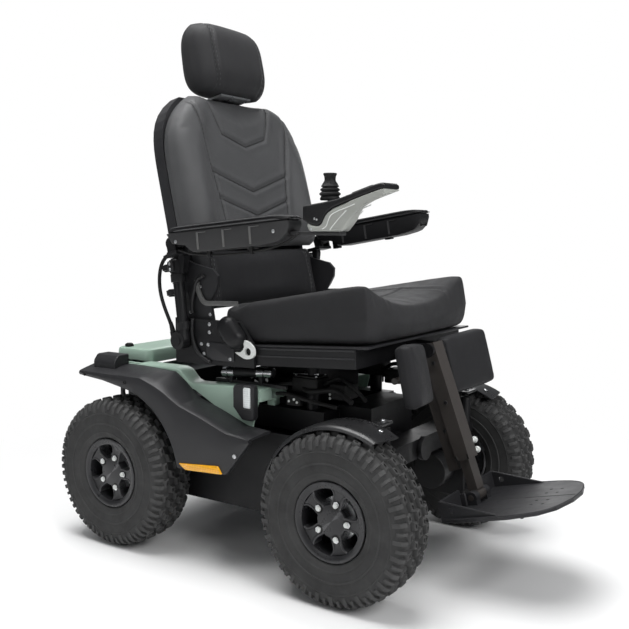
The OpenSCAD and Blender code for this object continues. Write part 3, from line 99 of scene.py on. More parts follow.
pod = shifted(chair, POD_X, -ARM_Y, POD_Z)


def once(side, node):
    """The solid that a pair of pieces stands for, named by the right one."""
    return [node] if side < 0 else ()


# Materials
class Nodes:
    """The node tree of a material or world, with short ways to add and link nodes."""

    def __init__(self, owner):
        owner.use_nodes = True
        self.owner, self.tree = owner, owner.node_tree

    def add(self, kind, **inputs):
        n = self.tree.nodes.new(kind)
        for k, v in inputs.items():
            if k in n.inputs:
                self.put(n.inputs[k], v)
            else:
                setattr(n, k, v)
        return n

    def put(self, socket, v):
        if isinstance(v, bpy.types.NodeSocket):
            self.tree.links.new(v, socket)
        else:
            socket.default_value = v

    def fed(self, kind, *values, **settings):
        """A node with its inputs filled in order; returns its first output."""
        n = self.add(kind, **settings)
        for socket, v in zip(n.inputs, values):
            self.put(socket, v)
        return n.outputs[0]

    def coords(self):
        return self.add("ShaderNodeTexCoord").outputs["Object"]

    def noise(self, scale, detail=4, rough=.55, stretch=None):
        v = self.coords()
        if stretch:
            v = self.add("ShaderNodeMapping", Vector=v, Scale=stretch).outputs[0]
        return self.add("ShaderNodeTexNoise", Vector=v, Scale=scale, Detail=detail, Roughness=rough).outputs[0]

    def ramp(self, fac, *stops):
        n = self.add("ShaderNodeValToRGB", Fac=fac)
        for el, (pos, col) in zip(n.color_ramp.elements, stops):
            el.position = pos
            el.color = (*(col if isinstance(col, tuple) else (col,) * 3), 1)
        return n.outputs[0]

    def mix(self, fac, a, b):
        return self.fed("ShaderNodeMixRGB", *(tuple(v) + (1,) if isinstance(v, (list, tuple)) else v for v in (fac, a, b)))

    def edges(self):
        return self.add("ShaderNodeNewGeometry").outputs["Pointiness"]

    def bump(self, height, strength, distance, **normal):
        return self.add("ShaderNodeBump", Height=height, Strength=strength, Distance=distance, **normal).outputs[0]

    def set(self, **values):
        for k, v in values.items():
            self.put(self.tree.nodes["Principled BSDF"].inputs[k.replace("_", " ")], v)
        return self.owner


def finish(name):
    return Nodes(bpy.data.materials.new(name))


def tint(c, f):
    return tuple(min(1, v * f) for v in c)


def surface(name, base, rough, metal=0, grain=600, depth=.0002, strength=.35, spread=.16, wear=.25, blotch=9,
            worn=None, stretch=None, coat=0, specular=.5):
    """Paint, moulded plastic or metal: mottled colour, fine grain, uneven gloss and paler rubbed edges."""
    m = finish(name)
    colour = m.ramp(m.noise(blotch, 6, .6), (.3, tint(base, 1 - spread)), (.7, tint(base, 1 + spread)))
    if wear:
        rub = m.ramp(m.edges(), (.53, 0), (.62, wear))
        colour = m.mix(m.mix(m.noise(60, 5), (0, 0, 0), rub), colour, worn or tint(base, 2.6))
    gloss = m.ramp(m.noise(blotch * 3, 5, .65), (.3, max(.04, rough - .07)), (.72, min(1, rough + .08)))
    return m.set(Base_Color=colour, Roughness=gloss, Metallic=metal, Coat_Weight=coat, Specular_IOR_Level=specular,
                 Normal=m.bump(m.noise(grain, 3, .6, stretch), strength, depth))


def leather(name, base, rough=.5, specular=.36):
    """Grained upholstery: small pebbles, soft creases and a slightly uneven shade."""
    m = finish(name)
    warp = m.mix(.06, m.coords(), m.add("ShaderNodeTexNoise", Vector=m.coords(), Scale=160.0).outputs["Color"])
    cells = m.add("ShaderNodeTexVoronoi", Vector=warp, Scale=430.0, feature="DISTANCE_TO_EDGE").outputs["Distance"]
    pebble = m.ramp(cells, (0, 0), (.22, 1))
    shade = m.ramp(m.noise(7, 6, .6), (.28, tint(base, .86)), (.74, tint(base, 1.15)))
    return m.set(Base_Color=m.mix(pebble, m.mix(.35, shade, (0, 0, 0)), shade), Sheen_Weight=.03,
                 Normal=m.bump(m.noise(34, 5, .6), .16, .0022, Normal=m.bump(pebble, .3, .0003)),
                 Specular_IOR_Level=specular,
                 Roughness=m.ramp(m.noise(26, 4), (.3, rough - .06), (.75, rough + .1)))


def rubber(name, base):
    """Tyre rubber: patches of dust, scuffed where it stands proud."""
    m = finish(name)
    dust = m.ramp(m.noise(14, 8, .7), (.38, base), (.75, tint(base, 1.7)))
    scuff = m.ramp(m.edges(), (.5, 0), (.6, .5))
    return m.set(Base_Color=m.mix(scuff, dust, tint(base, 2.4)), Specular_IOR_Level=.3,
                 Roughness=m.ramp(m.noise(40, 4), (.3, .62), (.7, .86)),
                 Normal=m.bump(m.noise(420, 4, .7), .4, .0004))


def lens(name, base, rough=.12):
    """A moulded lens or reflector with small prisms under a clear face."""
    m = finish(name)
    prism = m.add("ShaderNodeTexVoronoi", Vector=m.coords(), Scale=210.0, Randomness=.15).outputs["Distance"]
    return m.set(Base_Color=m.ramp(prism, (.1, tint(base, .8)), (.6, tint(base, 1.1))), Coat_Weight=.6,
                 Roughness=m.ramp(m.noise(20), (.3, rough), (.8, rough + .12)), Normal=m.bump(prism, .25, .0006))


MAT = {name: surface(name, base, rough, **more) for name, base, rough, more in (
    ("frame_black", (.007, .007, .008), .42, dict(grain=900, worn=(.1, .1, .1), specular=.3)),
    ("tray_black", (.009, .009, .01), .5, dict(grain=500, wear=.3, specular=.3)),
    ("battery_case", (.012, .012, .014), .5, dict(grain=700, specular=.3)),
    ("motor_black", (.011, .011, .012), .42, dict(grain=500, wear=.35, worn=(.16, .16, .16), specular=.35)),
    ("steel", (.62, .63, .64), .3, dict(metal=1, grain=260, stretch=(1, 1, 14), wear=.1, spread=.1)),
    ("polished_steel", (.78, .79, .8), .14,
     dict(metal=1, grain=200, stretch=(14, 1, 14), strength=.12, wear=0, spread=.05)),
    ("shroud_green", (.39, .53, .44), .36,
     dict(grain=1400, depth=.00012, spread=.05, wear=.3, worn=(.5, .6, .53), blotch=4, coat=.12)),
    ("panel_black", (.021, .021, .023), .42, dict(grain=1100, spread=.1, specular=.4)),
    ("fender_grey", (.02, .02, .021), .3, dict(grain=1200, depth=.00015, spread=.08, wear=.3, specular=.7)),
    ("rim_black", (.02, .02, .022), .3, dict(metal=.2, grain=500, wear=.5, worn=(.3, .3, .31))),
    # A paler copy of the arm plastic as painted light: the near arm's shell and the far arm's ribs
    ("arm_grey", (.03, .03, .031), .5, dict(grain=900, depth=.0003, wear=.2, specular=.4)),
    ("bar_grey", (.1, .1, .098), .38, dict(grain=700, wear=.3)),
    ("arm_black", (.009, .009, .01), .5, dict(grain=900, depth=.0003, wear=.2, specular=.3)),
    ("pod_grey", (.35, .36, .335), .38, dict(grain=1300, spread=.06, wear=.2)),
    ("pod_black", (.007, .007, .008), .42, dict(grain=1000, depth=.0003, specular=.35)),
    ("screen", (.012, .014, .018), .08, dict(grain=90, strength=.05, wear=0, coat=.5)),
    ("rubber", (.011, .011, .011), .6, dict(grain=700, depth=.0003, wear=.15, specular=.3)),
    ("leg_brown", (.042, .037, .034), .36, dict(grain=700, wear=.35, worn=(.16, .14, .13))),
    ("pale_trim", (.72, .74, .72), .3, dict(grain=700, spread=.05, wear=0)),
    ("stitch", (.11, .11, .115), .7, dict(grain=2500, depth=.0003, wear=0)),
    ("thread", (.02, .02, .021), .7, dict(grain=2500, depth=.0003, wear=0)))}
# One charcoal leather: the back's plain copy, and three darker copies that are painted shade, for the seat and
# headrest, for the lumbar pad, calf pads and far arm piping, and darkest for the arm pads
for make, name, *look in (
        (leather, "leather", (.077, .078, .081)), (leather, "leather_seat", (.034, .034, .036), .6, .2),
        (leather, "leather_side", (.02, .02, .022), .56, .22), (leather, "leather_arm", (.009, .009, .01), .62, .16),
        (rubber, "tyre", (.033, .033, .033)), (lens, "lamp_white", (.8, .84, .84)), (lens, "amber", (.92, .43, .012), .2)):
    MAT[name] = make(name, *look)


# Mesh tools
def joined(parts):
    verts, faces = [], []
    for v, f in parts:
        faces += [tuple(i + len(verts) for i in face) for face in f]
        verts += list(v)
    return verts, faces


def linked(name, verts, faces, mat, weld):
    """A smooth-shaded object whose faces look outwards."""
    me = bpy.data.meshes.new(name)
    me.from_pydata([tuple(v) for v in verts], [], faces)
    bm = bmesh.new()
    bm.from_mesh(me)
    if weld:
        bmesh.ops.remove_doubles(bm, verts=bm.verts, dist=1e-6)
    bmesh.ops.recalc_face_normals(bm, faces=bm.faces)
    bm.to_mesh(me)
    bm.free()
    me.polygons.foreach_set("use_smooth", [True] * len(me.polygons))
    me.materials.append(MAT[mat])
    ob = bpy.data.objects.new(name, me)
    scene.collection.objects.link(ob)
    return ob


def dress(ob, body, stands_for=()):
    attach(ob, body)
    if stands_for:
        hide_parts(*stands_for)


def piece(name, parts, mat, body, stands_for=(), flat=30, bevel=0):
    """One visible piece of (points, faces) parts; edges past `flat` degrees stay sharp, and `bevel` mm softens them."""
    ob = linked(name, *joined(parts), mat, True)
    if flat:
        ob.data.set_sharp_from_angle(angle=math.radians(flat))
    if bevel:
        soften(ob, bevel / 1000, 3, 32)
    dress(ob, body, stands_for)
    return ob


def soften(ob, width, segments, angle):
    mod = ob.modifiers.new("edges", "BEVEL")
    mod.width, mod.segments, mod.limit_method, mod.angle_limit = width, segments, "ANGLE", math.radians(angle)
    mod.harden_normals = True


def grid(rows, cols, wrap=False):
    n = cols if wrap else cols - 1
    return [(j * cols + i, j * cols + (i + 1) % cols, (j + 1) * cols + (i + 1) % cols, (j + 1) * cols + i)
            for j in range(rows - 1) for i in range(n)]


def loft(rings):
    """A closed form through equal rings of points, capped at both ends."""
    n, last = len(rings[0]), (len(rings) - 1) * len(rings[0])
    faces = grid(len(rings), n, True) + [tuple(range(n))[::-1], tuple(range(last, last + n))]
    return [p for r in rings for p in r], faces


def hoop(rings):
    """A form through equal rings of points and back to the first."""
    m, n = len(rings), len(rings[0])
    return [p for r in rings for p in r], [(j * n + i, j * n + (i + 1) % n, (j + 1) % m * n + (i + 1) % n, (j + 1) % m * n + i)
                                           for j in range(m) for i in range(n)]


def stack(shape, steps, to, cx=0, cz=0):
    """A closed form from one (x, z) outline at (y, scale) steps, scaled about a centre."""
    return loft([[to(cx + (x - cx) * k, y, cz + (z - cz) * k) for x, z in shape] for y, k in steps])


def rounded(x0, x1, y0, y1, r, q, n):
    """Points round a rectangle: corners centred r inside it, of radius q, in n steps each."""
    return [(cx + q * math.cos(a), cy + q * math.sin(a))
            for cx, cy, a0 in ((x1 - r, y1 - r, 0), (x0 + r, y1 - r, 90), (x0 + r, y0 + r, 180), (x1 - r, y0 + r, 270))
            for a in (math.radians(a0 + 90 * k / n) for k in range(n + 1))]


def boxes(to, *sizes):
    return [round_box(to, *size) for size in sizes]


def round_box(to, x0, y0, z0, x1, y1, z1, r):
    """A box with rounded upright edges and chamfered ends, in a placing function's own directions."""
    r = min(r, (x1 - x0) / 2.01, (y1 - y0) / 2.01)
    c = min(r, (z1 - z0) / 2.2) * .5
    return loft([[to(x, y, z) for x, y in rounded(x0, x1, y0, y1, r, max(.2, r - inset), 4)]
                 for z, inset in ((z0, c), (z0 + c * .3, c * .3), (z0 + c, 0), (z1 - c, 0), (z1 - c * .3, c * .3), (z1, c))])


def circle(count):
    return [polar(1, 2 * PI * k / count) for k in range(count)]


def turned(profile, count, to):
    """A form turned about the second direction of `to`: profile is (radius, along) pairs, closed at both ends."""
    return loft([[to(r * c, a, r * s) for c, s in circle(count)] for r, a in profile])


def ring_turned(profile, count, to):
    """The same for a closed profile, as a ring."""
    return hoop([[to(r * c, a, r * s) for r, a in profile] for c, s in circle(count)])


def tube(path, r, sides=10):
    """A round bar along points in metres."""
    pts = [Vector(p) for p in path]
    rings, normal = [], None
    for k, p in enumerate(pts):
        t = (pts[min(k + 1, len(pts) - 1)] - pts[max(k - 1, 0)]).normalized()
        if normal is None:
            normal = t.orthogonal()
        normal = (normal - t * normal.dot(t)).normalized()
        side = t.cross(normal)
        rings.append([p + (normal * c + side * s) * r / 1000 for c, s in circle(sides)])
    return loft(rings)


def curve(points, steps=6):
    """A smooth line through points."""
    p = [np.array(q, float) for q in points]
    out = []
    for i in range(len(p) - 1):
        a, b, c, d = p[max(i - 1, 0)], p[i], p[i + 1], p[min(i + 2, len(p) - 1)]
        for t in (k / steps for k in range(steps)):
            out.append(.5 * (2 * b + (c - a) * t + (2 * a - 5 * b + 4 * c - d) * t * t + (3 * b - a - 3 * c + d) * t ** 3))
    return out + [p[-1]]


def blend_at(table, x):
    """The values at x in a table of (x, value, ...) rows."""
    xs = [r[0] for r in table]
    return [float(np.interp(x, xs, [r[k] for r in table])) for k in range(1, len(table[0]))]


def spindle(at, axis, profile, count):
    """A closed form of (radius, along) rings about an axis through a point in metres."""
    z = Vector(axis).normalized()
    x = z.orthogonal().normalized()
    y = z.cross(x)
    return loft([[Vector(at) + (x * c * r + y * s * r + z * a) / 1000 for c, s in circle(count)] for r, a in profile])


BOLTS = {}


def bolt(body, at, axis, r=6, h=4, mat="steel"):
    """A fastener head with a socket; all of one body and finish become one piece."""
    head = ((r, 0), (r, h * .7), (r * .8, h), (r * .45, h), (r * .4, h * .55))
    BOLTS.setdefault((body, mat), []).append(spindle(at, axis, head, 12))


def side_bolts(body, to, side, r, h, spots, mat="steel"):
    for spot in spots:
        bolt(body, to(*spot), (0, side, 0), r, h, mat)


# Camera, light and floor
PHOTO_PX, FOCAL_PX, SENSOR = 629, 858.13, 36
right, up = Vector((.8283, .5603, 0)).normalized(), Vector((-.0554, .0819, .9951))
ahead = up.cross(right).normalized()
up = right.cross(ahead)
camera = bpy.data.objects.new("camera", bpy.data.cameras.new("camera"))
camera.matrix_world = Matrix((right, up, -ahead)).transposed().to_4x4()
camera.location = chair(1206.8, -1714.3, 753.3)
camera.data.sensor_width, camera.data.lens = SENSOR, FOCAL_PX * SENSOR / PHOTO_PX
scene.collection.objects.link(camera)
scene.camera = camera
scene.view_settings.view_transform = "Standard"

for name, at, size, power in (("key", (3.2, -.9, 2.6), 2.0, 84), ("top", (-.4, -.3, 3.3), 2.4, 122),
                              ("side", (-.9, -3.4, 1.9), 2.0, 10), ("far", (-1.8, 3.0, 1.7), 2.2, 30)):
    data = bpy.data.lights.new(name, "AREA")
    data.size, data.energy = size, power
    lamp = bpy.data.objects.new(name, data)
    lamp.location = at
    lamp.rotation_euler = (Vector((0, 0, .5)) - Vector(at)).to_track_quat("-Z", "Y").to_euler()
    scene.collection.objects.link(lamp)

sky = Nodes(bpy.data.worlds.new("studio"))
scene.world = sky.owner
dim = sky.tree.nodes["Background"]
dim.inputs["Color"].default_value, dim.inputs["Strength"].default_value = (.93, .96, 1, 1), .13
ray = sky.add("ShaderNodeLightPath").outputs
seen = sky.fed("ShaderNodeMath", ray["Is Camera Ray"], ray["Is Transmission Ray"], operation="MAXIMUM")
white = sky.add("ShaderNodeBackground", Color=(1, 1, 1, 1)).outputs[0]
sky.put(sky.tree.nodes["World Output"].inputs["Surface"], sky.fed("ShaderNodeMixShader", seen, dim.outputs[0], white))

FLOOR, FLOOR_Z = 9, -.0005
floor_mesh = bpy.data.meshes.new("floor")
floor_mesh.from_pydata([(x * FLOOR, y * FLOOR, FLOOR_Z) for x, y in ((-1, -1), (1, -1), (1, 1), (-1, 1))], [], [(0, 1, 2, 3)])
floor = bpy.data.objects.new("floor", floor_mesh)
scene.collection.objects.link(floor)
ground = finish("floor")
far = ground.add("ShaderNodeVectorMath", operation="LENGTH")
ground.put(far.inputs[0], ground.coords())
fade = ground.ramp(ground.add("ShaderNodeMapRange", Value=far.outputs["Value"], **{"From Max": 3.0}).outputs[0],
                   (.22, 0), (.5, 1))
eye = ground.fed("ShaderNodeMath", fade, ground.add("ShaderNodeLightPath").outputs["Is Camera Ray"], operation="MULTIPLY")
glow = ground.add("ShaderNodeEmission", Color=(1, 1, 1, 1), Strength=1.0).outputs[0]
lit = ground.tree.nodes["Principled BSDF"].outputs[0]
ground.put(ground.tree.nodes["Material Output"].inputs["Surface"], ground.fed("ShaderNodeMixShader", eye, lit, glow))
floor_mesh.materials.append(ground.set(Base_Color=(.9, .9, .9, 1), Roughness=.9, Specular_IOR_Level=.1))

# The part's own solids: finish and softened edges
slots = {s["node"]: s["material_slot"] for s in frame["record"]["subparts"]}
for name, ob in frame["nodes"].items():
    ob.data.materials.clear()
    ob.data.materials.append(MAT[slots[name]])
    ob.modifiers.new("weld", "WELD").merge_threshold = 1e-5
    flat = ob.modifiers.new("flat", "DECIMATE")
    flat.decimate_type, flat.angle_limit = "DISSOLVE", math.radians(.6)
    soften(ob, .0014, 2, 38)

# The joystick lead: a bow behind the right cane, out of a gland and into a grommet
LEAD_R, LEAD_STEPS = .0042, 24
BOW = ((-.106, 1.043), (-.277, 1.043), (-.351, .798), (-.319, .596)), \
      ((-.319, .596), (-.287, .394), (-.210, .280), (-.183, .128))
route = []
for k in range(LEAD_STEPS + 1):
    f = 2 * k / LEAD_STEPS
    t = f if f < 1 else f - 1
    u, w = [(1 - t) ** 3 * a + 3 * t * (1 - t) ** 2 * b + 3 * t * t * (1 - t) * c + t ** 3 * d
            for a, b, c, d in zip(*BOW[0 if f < 1 else 1])]
    route.append(back(CANE_TOP * u + CANE_FOOT + CANE_TOP * w * math.tan(CANE_LEAN), -CANE_Y, CANE_TOP * w))
lead_data = bpy.data.curves.new("joystick_lead", "CURVE")
lead_data.dimensions = "3D"
spline = lead_data.splines.new("POLY")
spline.points.add(LEAD_STEPS)
for p, at in zip(spline.points, route):
    p.co = tuple(at) + (1,)
lead_data.bevel_depth, lead_data.bevel_resolution, lead_data.use_fill_caps = LEAD_R, 5, True
lead = bpy.data.objects.new("joystick_lead", lead_data)
scene.collection.objects.link(lead)
lead_data.materials.append(MAT["rubber"])
dress(lead, "back", ["joystick_cable"])
# Ribbed strain reliefs that taper on to it
for name, at, towards, r0, l in (("lead_relief_top", route[0], route[1], 5.9, 16),
                                 ("lead_relief_low", route[-1], route[-2], 6.4, 22)):
    ribbed = [(r0 + (4.6 - r0) * k / 8 - (.5 if k % 2 else 0), l * k / 8) for k in range(9)]
    piece(name, [spindle(at, Vector(towards) - Vector(at), ribbed, 16)], "rubber", "back", flat=35)


# Wheels: knobbly tyres, spoked rims and wheel nuts
def spun(to, turn, r, a, s):
    """A wheel's point at radius r, a along the axle and s round the arc from a turn."""
    x, z = polar(r, turn + s / r)
    return to(x, a, z)


def square(r, a, half_a, half_s, lean):
    return [(r, a - half_a, -half_s - lean), (r, a + half_a, -half_s + lean), (r, a + half_a, half_s + lean),
            (r, a - half_a, half_s - lean)]


def tyre(to):
    """Carcass with moulded rings, five rows of hollow-topped blocks and two lengths of shoulder bar."""
    half = [(82.2, 38), (82.6, 43), (85, 47), (90, 50.2), (96, 52.4), (98, 54), (100, 54.2), (101, 53.4), (108, 54.2),
            (117, 54.8), (118, 56.2), (121, 56.2), (122, 54.9), (131, 55.4), (141, 54.9), (143, 56), (146, 54.4), (151, 54),
            (158, 51), (163.5, 46.5), (167, 40), (168.6, 30), (169, 15), (169, 0)]
    profile = half + [(r, -a) for r, a in half[-2::-1]] + [(100, -40), (150, -38), (150, 38), (100, 40)]
    parts = [ring_turned(profile, 120, to)]
    count = 30
    for turn in (2 * PI * k / count for k in range(count)):
        for row, a in enumerate((-33.5, -17, 0, 17, 33.5)):
            at = turn + (PI / count if row % 2 else 0)
            top, lean = (177.6 if row in (1, 2, 3) else 175.6), (1.6 if row % 2 else -1.6)
            verts = [spun(to, at, *p) for r, half_a, half_s in ((166.5, 6.9, 9.4), (top - 1.2, 5.8, 8), (top, 5, 7),
                                                                (top, 2.6, 3.8), (top - 4, 2.2, 3.2))
                     for p in square(r, a, half_a, half_s, lean)]
            parts.append((verts, grid(5, 4, True) + [(16, 17, 18, 19)]))
        for side in (-1, 1):
            for off, w, low in ((0, 3, 155), (1, 4.2, 147)):
                at = turn + side * PI / count / 2 + off * PI / count
                crest = [(172.6, 41.5), (170.5, 47), (164, 53), (low, 55.9)]
                base = [(166, 41), (163.5, 45), (157, 49.5), (low - 2, 52)]
                verts = [spun(to, at, r, side * a, s) for (r1, a1), (r0, a0) in zip(crest, base)
                         for r, a, s in ((r0, a0, -w - 1.2), (r1, a1, -w), (r1, a1, w), (r0, a0, w + 1.2))]
                parts.append((verts, grid(4, 4) + [(0, 1, 2, 3), (12, 13, 14, 15)]))
    return parts


def rim_trim(to):
    """Barrel with a broad lip, five flat spokes, a flat hub face, a drum closing the inside and a valve stem."""
    lip = [(82, -44), (82, 44), (82.4, 47), (81, 48.8), (78, 49.2), (71, 46.8), (68, 45), (67, 41), (66.6, -30), (72, -40),
           (78, -46)]
    parts = [ring_turned(lip, 96, to), turned([(27, 12), (33, 16), (33.6, 38), (32.8, 39.6), (31, 40.2), (.5, 40.2)], 60, to),
             turned([(20, -14), (66.8, -13), (66.8, -9), (27, -8), (27, 12), (1, 13)], 60, to)]
    for k in range(5):
        rings = []
        for r, w, h in ((29, 12.6, 40), (38, 12.6, 40), (48, 12.2, 40.3), (57, 13.4, 41), (63, 16.8, 42), (67.8, 22, 43)):
            half = ((-w, 12), (-w, h - 1), (1.4 - w, h), (4 - w, h), (5.4 - w, h - 1.2))
            rings.append([spun(to, 2 * PI * k / 5, r, a, s) for s, a in half + tuple((-s, a) for s, a in half[::-1])])
        parts.append(loft(rings))
    x, z = polar(60, PI / 5 + .32)
    return parts + [turned([(4, -9), (4, 26), (2.8, 28), (2.8, 34), (1, 35)], 14, shifted(to, x, 0, z))]


def nuts(to, profile):
    return [turned(profile, 24, shifted(to, 36 * c, 0, 36 * s)) for c, s in circle(5)]


# Flat dark discs round the nuts, painted shade standing for recessed nut wells
nut_shade_disc = [(9.4, 36), (9.4, 40.5), (8.8, 40.9), (6, 40.6), (.5, 40.6)]
nut = [(5.4, 40), (5.4, 43), (4.8, 44.4), (3.4, 45.2), (.5, 45.4)]
for w, x, side in (("fr", AXLE, -1), ("fl", AXLE, 1), ("rr", -AXLE, -1), ("rl", -AXLE, 1)):
    to = shifted(flank(side), x, WHEEL_Y, WHEEL_R)
    piece("tyre_%s_knobbly" % w, tyre(to), "tyre", "wheel_" + w, ["tyre_" + w], flat=28)
    piece("rim_%s_trim" % w, rim_trim(to), "rim_black", "wheel_" + w, ["rim_" + w])
    piece("wells_%s" % w, nuts(to, nut_shade_disc), "rubber", "wheel_" + w)
    piece("nuts_%s" % w, nuts(to, nut), "pale_trim", "wheel_" + w)

# Front fenders: a crowned sheet with a turned-down outer lip, and a fixing tab
FENDER_IN, FENDER_W = 235.5, 85
sheet = [(FENDER_IN, 188.6), (236, 190.4), (250, 191), (275, 191.6), (300, 191.2), (311, 190.2), (317, 187.6), (320, 183.6),
         (320.6, 180.8), (317.6, 181), (316, 184.2), (309, 187), (300, 187.8), (275, 188), (250, 187.6)]
for side, name in SIDES:
    to, rings = flank(side), []
    for f in (k / 60 for k in range(61)):
        ring = []
        for y, r in sheet:
            out = (y - FENDER_IN) / FENDER_W
            x, z = polar(r - 15 * max(0, f - .9),
                         math.radians((59 + 3.5 * out ** 2) + (166 - 59 - 5 * (1 - out) - 3.5 * out ** 2) * f))
            ring.append(to(AXLE + x, y, WHEEL_R + z))
        rings.append(ring)
    piece("fender_%s_sheet" % name, [loft(rings), round_box(to, 342, 186, 356, 370, 239.5, 362, 5)], "fender_grey",
          "front_axle", ["front_fender_" + name])
    bolt("front_axle", to(356, 206, 362), (0, 0, 1), 6, 4)
    c, s = polar(1, math.radians(68))
    bolt("front_axle", to(AXLE + 191.5 * c, 262, WHEEL_R + 191.5 * s), (c, 0, s), 5, 3)

# Bodywork: creased side panels over the rear wheels
PANEL_X0, PANEL_L, PANEL_Z0, PANEL_H = -426, 523, 218, 208
PANEL_IN, PANEL_OUT, ARCH_R = 245.3, 324, 207
TAIL_END, ARCH_REAR, ARCH_FRONT, ARCH_FOOT, TAIL_LOW = .155, .279, .6, .622, .845
# Shares of the length, then of the height: top edge, crease and lower edge
panel_rows = [(0, 1, .935, .88), (TAIL_END, 1, .935, TAIL_LOW), (ARCH_REAR, 1, .94, 0), (.394, .985, .94, 0),
              (.474, .975, .875, 0), (.53, .88, .815, 0), (.58, .78, .745, 0), (ARCH_FOOT, .71, .69, 0), (.74, .62, .6, .012),
              (.88, .49, .475, .03), (1, .465, .445, .4)]


def arch(x):
    return WHEEL_R + math.sqrt(max(0, ARCH_R ** 2 - (x + AXLE) ** 2))


def panel_at(share):
    x = PANEL_X0 + share * PANEL_L
    top, crease, low = (PANEL_Z0 + PANEL_H * v for v in blend_at(panel_rows, share))
    if ARCH_REAR <= share < ARCH_FOOT:
        low = max(arch(x) if share <= ARCH_FRONT else min(arch(x), 400), PANEL_Z0)
    elif TAIL_END < share < ARCH_REAR:
        k = (share - TAIL_END) / .124
        low = (PANEL_Z0 + PANEL_H * TAIL_LOW) * (1 - k) + arch(PANEL_X0 + ARCH_REAR * PANEL_L) * k
    return x, top, crease, low


for side, name in SIDES:
    to, rings, out = flank(side), [], PANEL_OUT
    for s in sorted({k / 70 for k in range(71)} | {TAIL_END, ARCH_REAR, ARCH_FRONT, .608, .615, ARCH_FOOT}):
        x, top, crease, low = panel_at(s)
        soft, fall, half = min(9, (crease - low) * .35), (top - crease) * .2, (crease + low) / 2
        skin = [(PANEL_IN, top), (PANEL_IN + 22, top - fall + 1.6), (out - 22, crease + fall + 1.8), (out - 7, crease + .8),
                (out - 2, crease - soft * .25), (out, crease - soft), (out + .6, half), (out, low + 4), (out - 1.5, low + .8),
                (out - 12, low), (out - 12, low + 3.5), (out - 5, low + 4), (out - 5, half), (out - 5, crease - soft),
                (out - 9, crease - 5), (out - 22, crease + fall - 3.5), (PANEL_IN, top - 5)]
        rings.append([to(x, y, z) for y, z in skin])
    piece("panel_%s_skin" % name, [loft(rings)], "panel_black", "chassis", ["side_panel_" + name], flat=24)
    for s, r, h, mat in ((.04, 4.5, 2.4, "rubber"), (.3, 4.5, 2.4, "rubber"), (.93, 5, 2.6, "steel")):
        x, top, crease, low = panel_at(s)
        bolt("chassis", to(x, out + .2, {.04: crease - 8, .3: (crease + low) / 2, .93: low + 14}[s]), (0, side, 0), r, h, mat)

# The pale shroud: two rounded side rails that dip to the front, a raised rear deck and a rear apron
SHROUD_X0, SHROUD_L, CAP_Z, LOW_Z, SKIRT_Z = -433, 502, 430, 398, 288
DECK_HALF, CAP_HALF = 212, 243
top_rows = [(0, 1), (.46, 1), (.5, .985), (.53, .86), (.575, .16), (.605, .02), (.64, .03), (.74, .12), (.86, .22), (.94, .2),
            (1, .16)]
skirt_rows = [(0, .88), (.5, .88), (.605, .7), (.78, .39), (.9, .1), (.94, 0), (.965, .3), (1, .76)]
parts = []
for side, name in SIDES:
    to, rings, r = flank(side), [], 9
    for s in (k / 90 for k in range(91)):
        x = SHROUD_X0 + s * SHROUD_L
        z1 = LOW_Z + (CAP_Z - LOW_Z) * blend_at(top_rows, s)[0]
        z0 = min(SKIRT_Z + (CAP_Z - SKIRT_Z) * blend_at(skirt_rows, s)[0], z1 - 14)
        inner = 374 if x > -301 else z1 - 12
        rail = [(245, z0), (245, z1 - r), (244.3, z1 - r * .5), (242, z1 - r * .18), (236, z1), (206, z1), (200, z1 - r * .18),
                (197.7, z1 - r * .5), (197, z1 - r), (197, inner), (201, inner), (201, z1 - r), (206, z1 - 4.5),
                (236, z1 - 4.5), (241, z1 - r), (241, z0)]
        rings.append([to(x, y, z) for y, z in rail])
    parts += [loft(rings)] + boxes(to, (23, 141, 374, 69, 243, 398.5, 6), (23, 140, 350.2, 46, 160, 376, 3),
                                   (-419, 121, 350.2, -399, 160, 428, 3))
deck = []
for z, inset in ((426, 0), (440, .5), (451, 1.5), (455.5, 4), (457.4, 8), (458, 13)):
    half, r = DECK_HALF - inset, max(20 - inset, 7)
    crown = z + 1.6 * (1 - ((half - r) / DECK_HALF) ** 2)
    deck.append([chair(x, y, crown) for x, y in rounded(-420 + inset, -300 - inset, -half, half, r, r, 6)])
apron = [[chair(x, -CAP_HALF + 2 * CAP_HALF * k / 24, z) for x, z in (
    (-433, 402), (-433.4, 424), (-431, 429), (-427, 430), (-424, 426), (-428, 420), (-428.6, 402))] for k in range(25)]
parts += [loft(deck), round_box(chair, -431, -CAP_HALF, 425.2, -301, CAP_HALF, 430, 2), loft(apron)]
piece("shroud_moulding", parts, "shroud_green", "chassis", ["top_shroud"], flat=26)

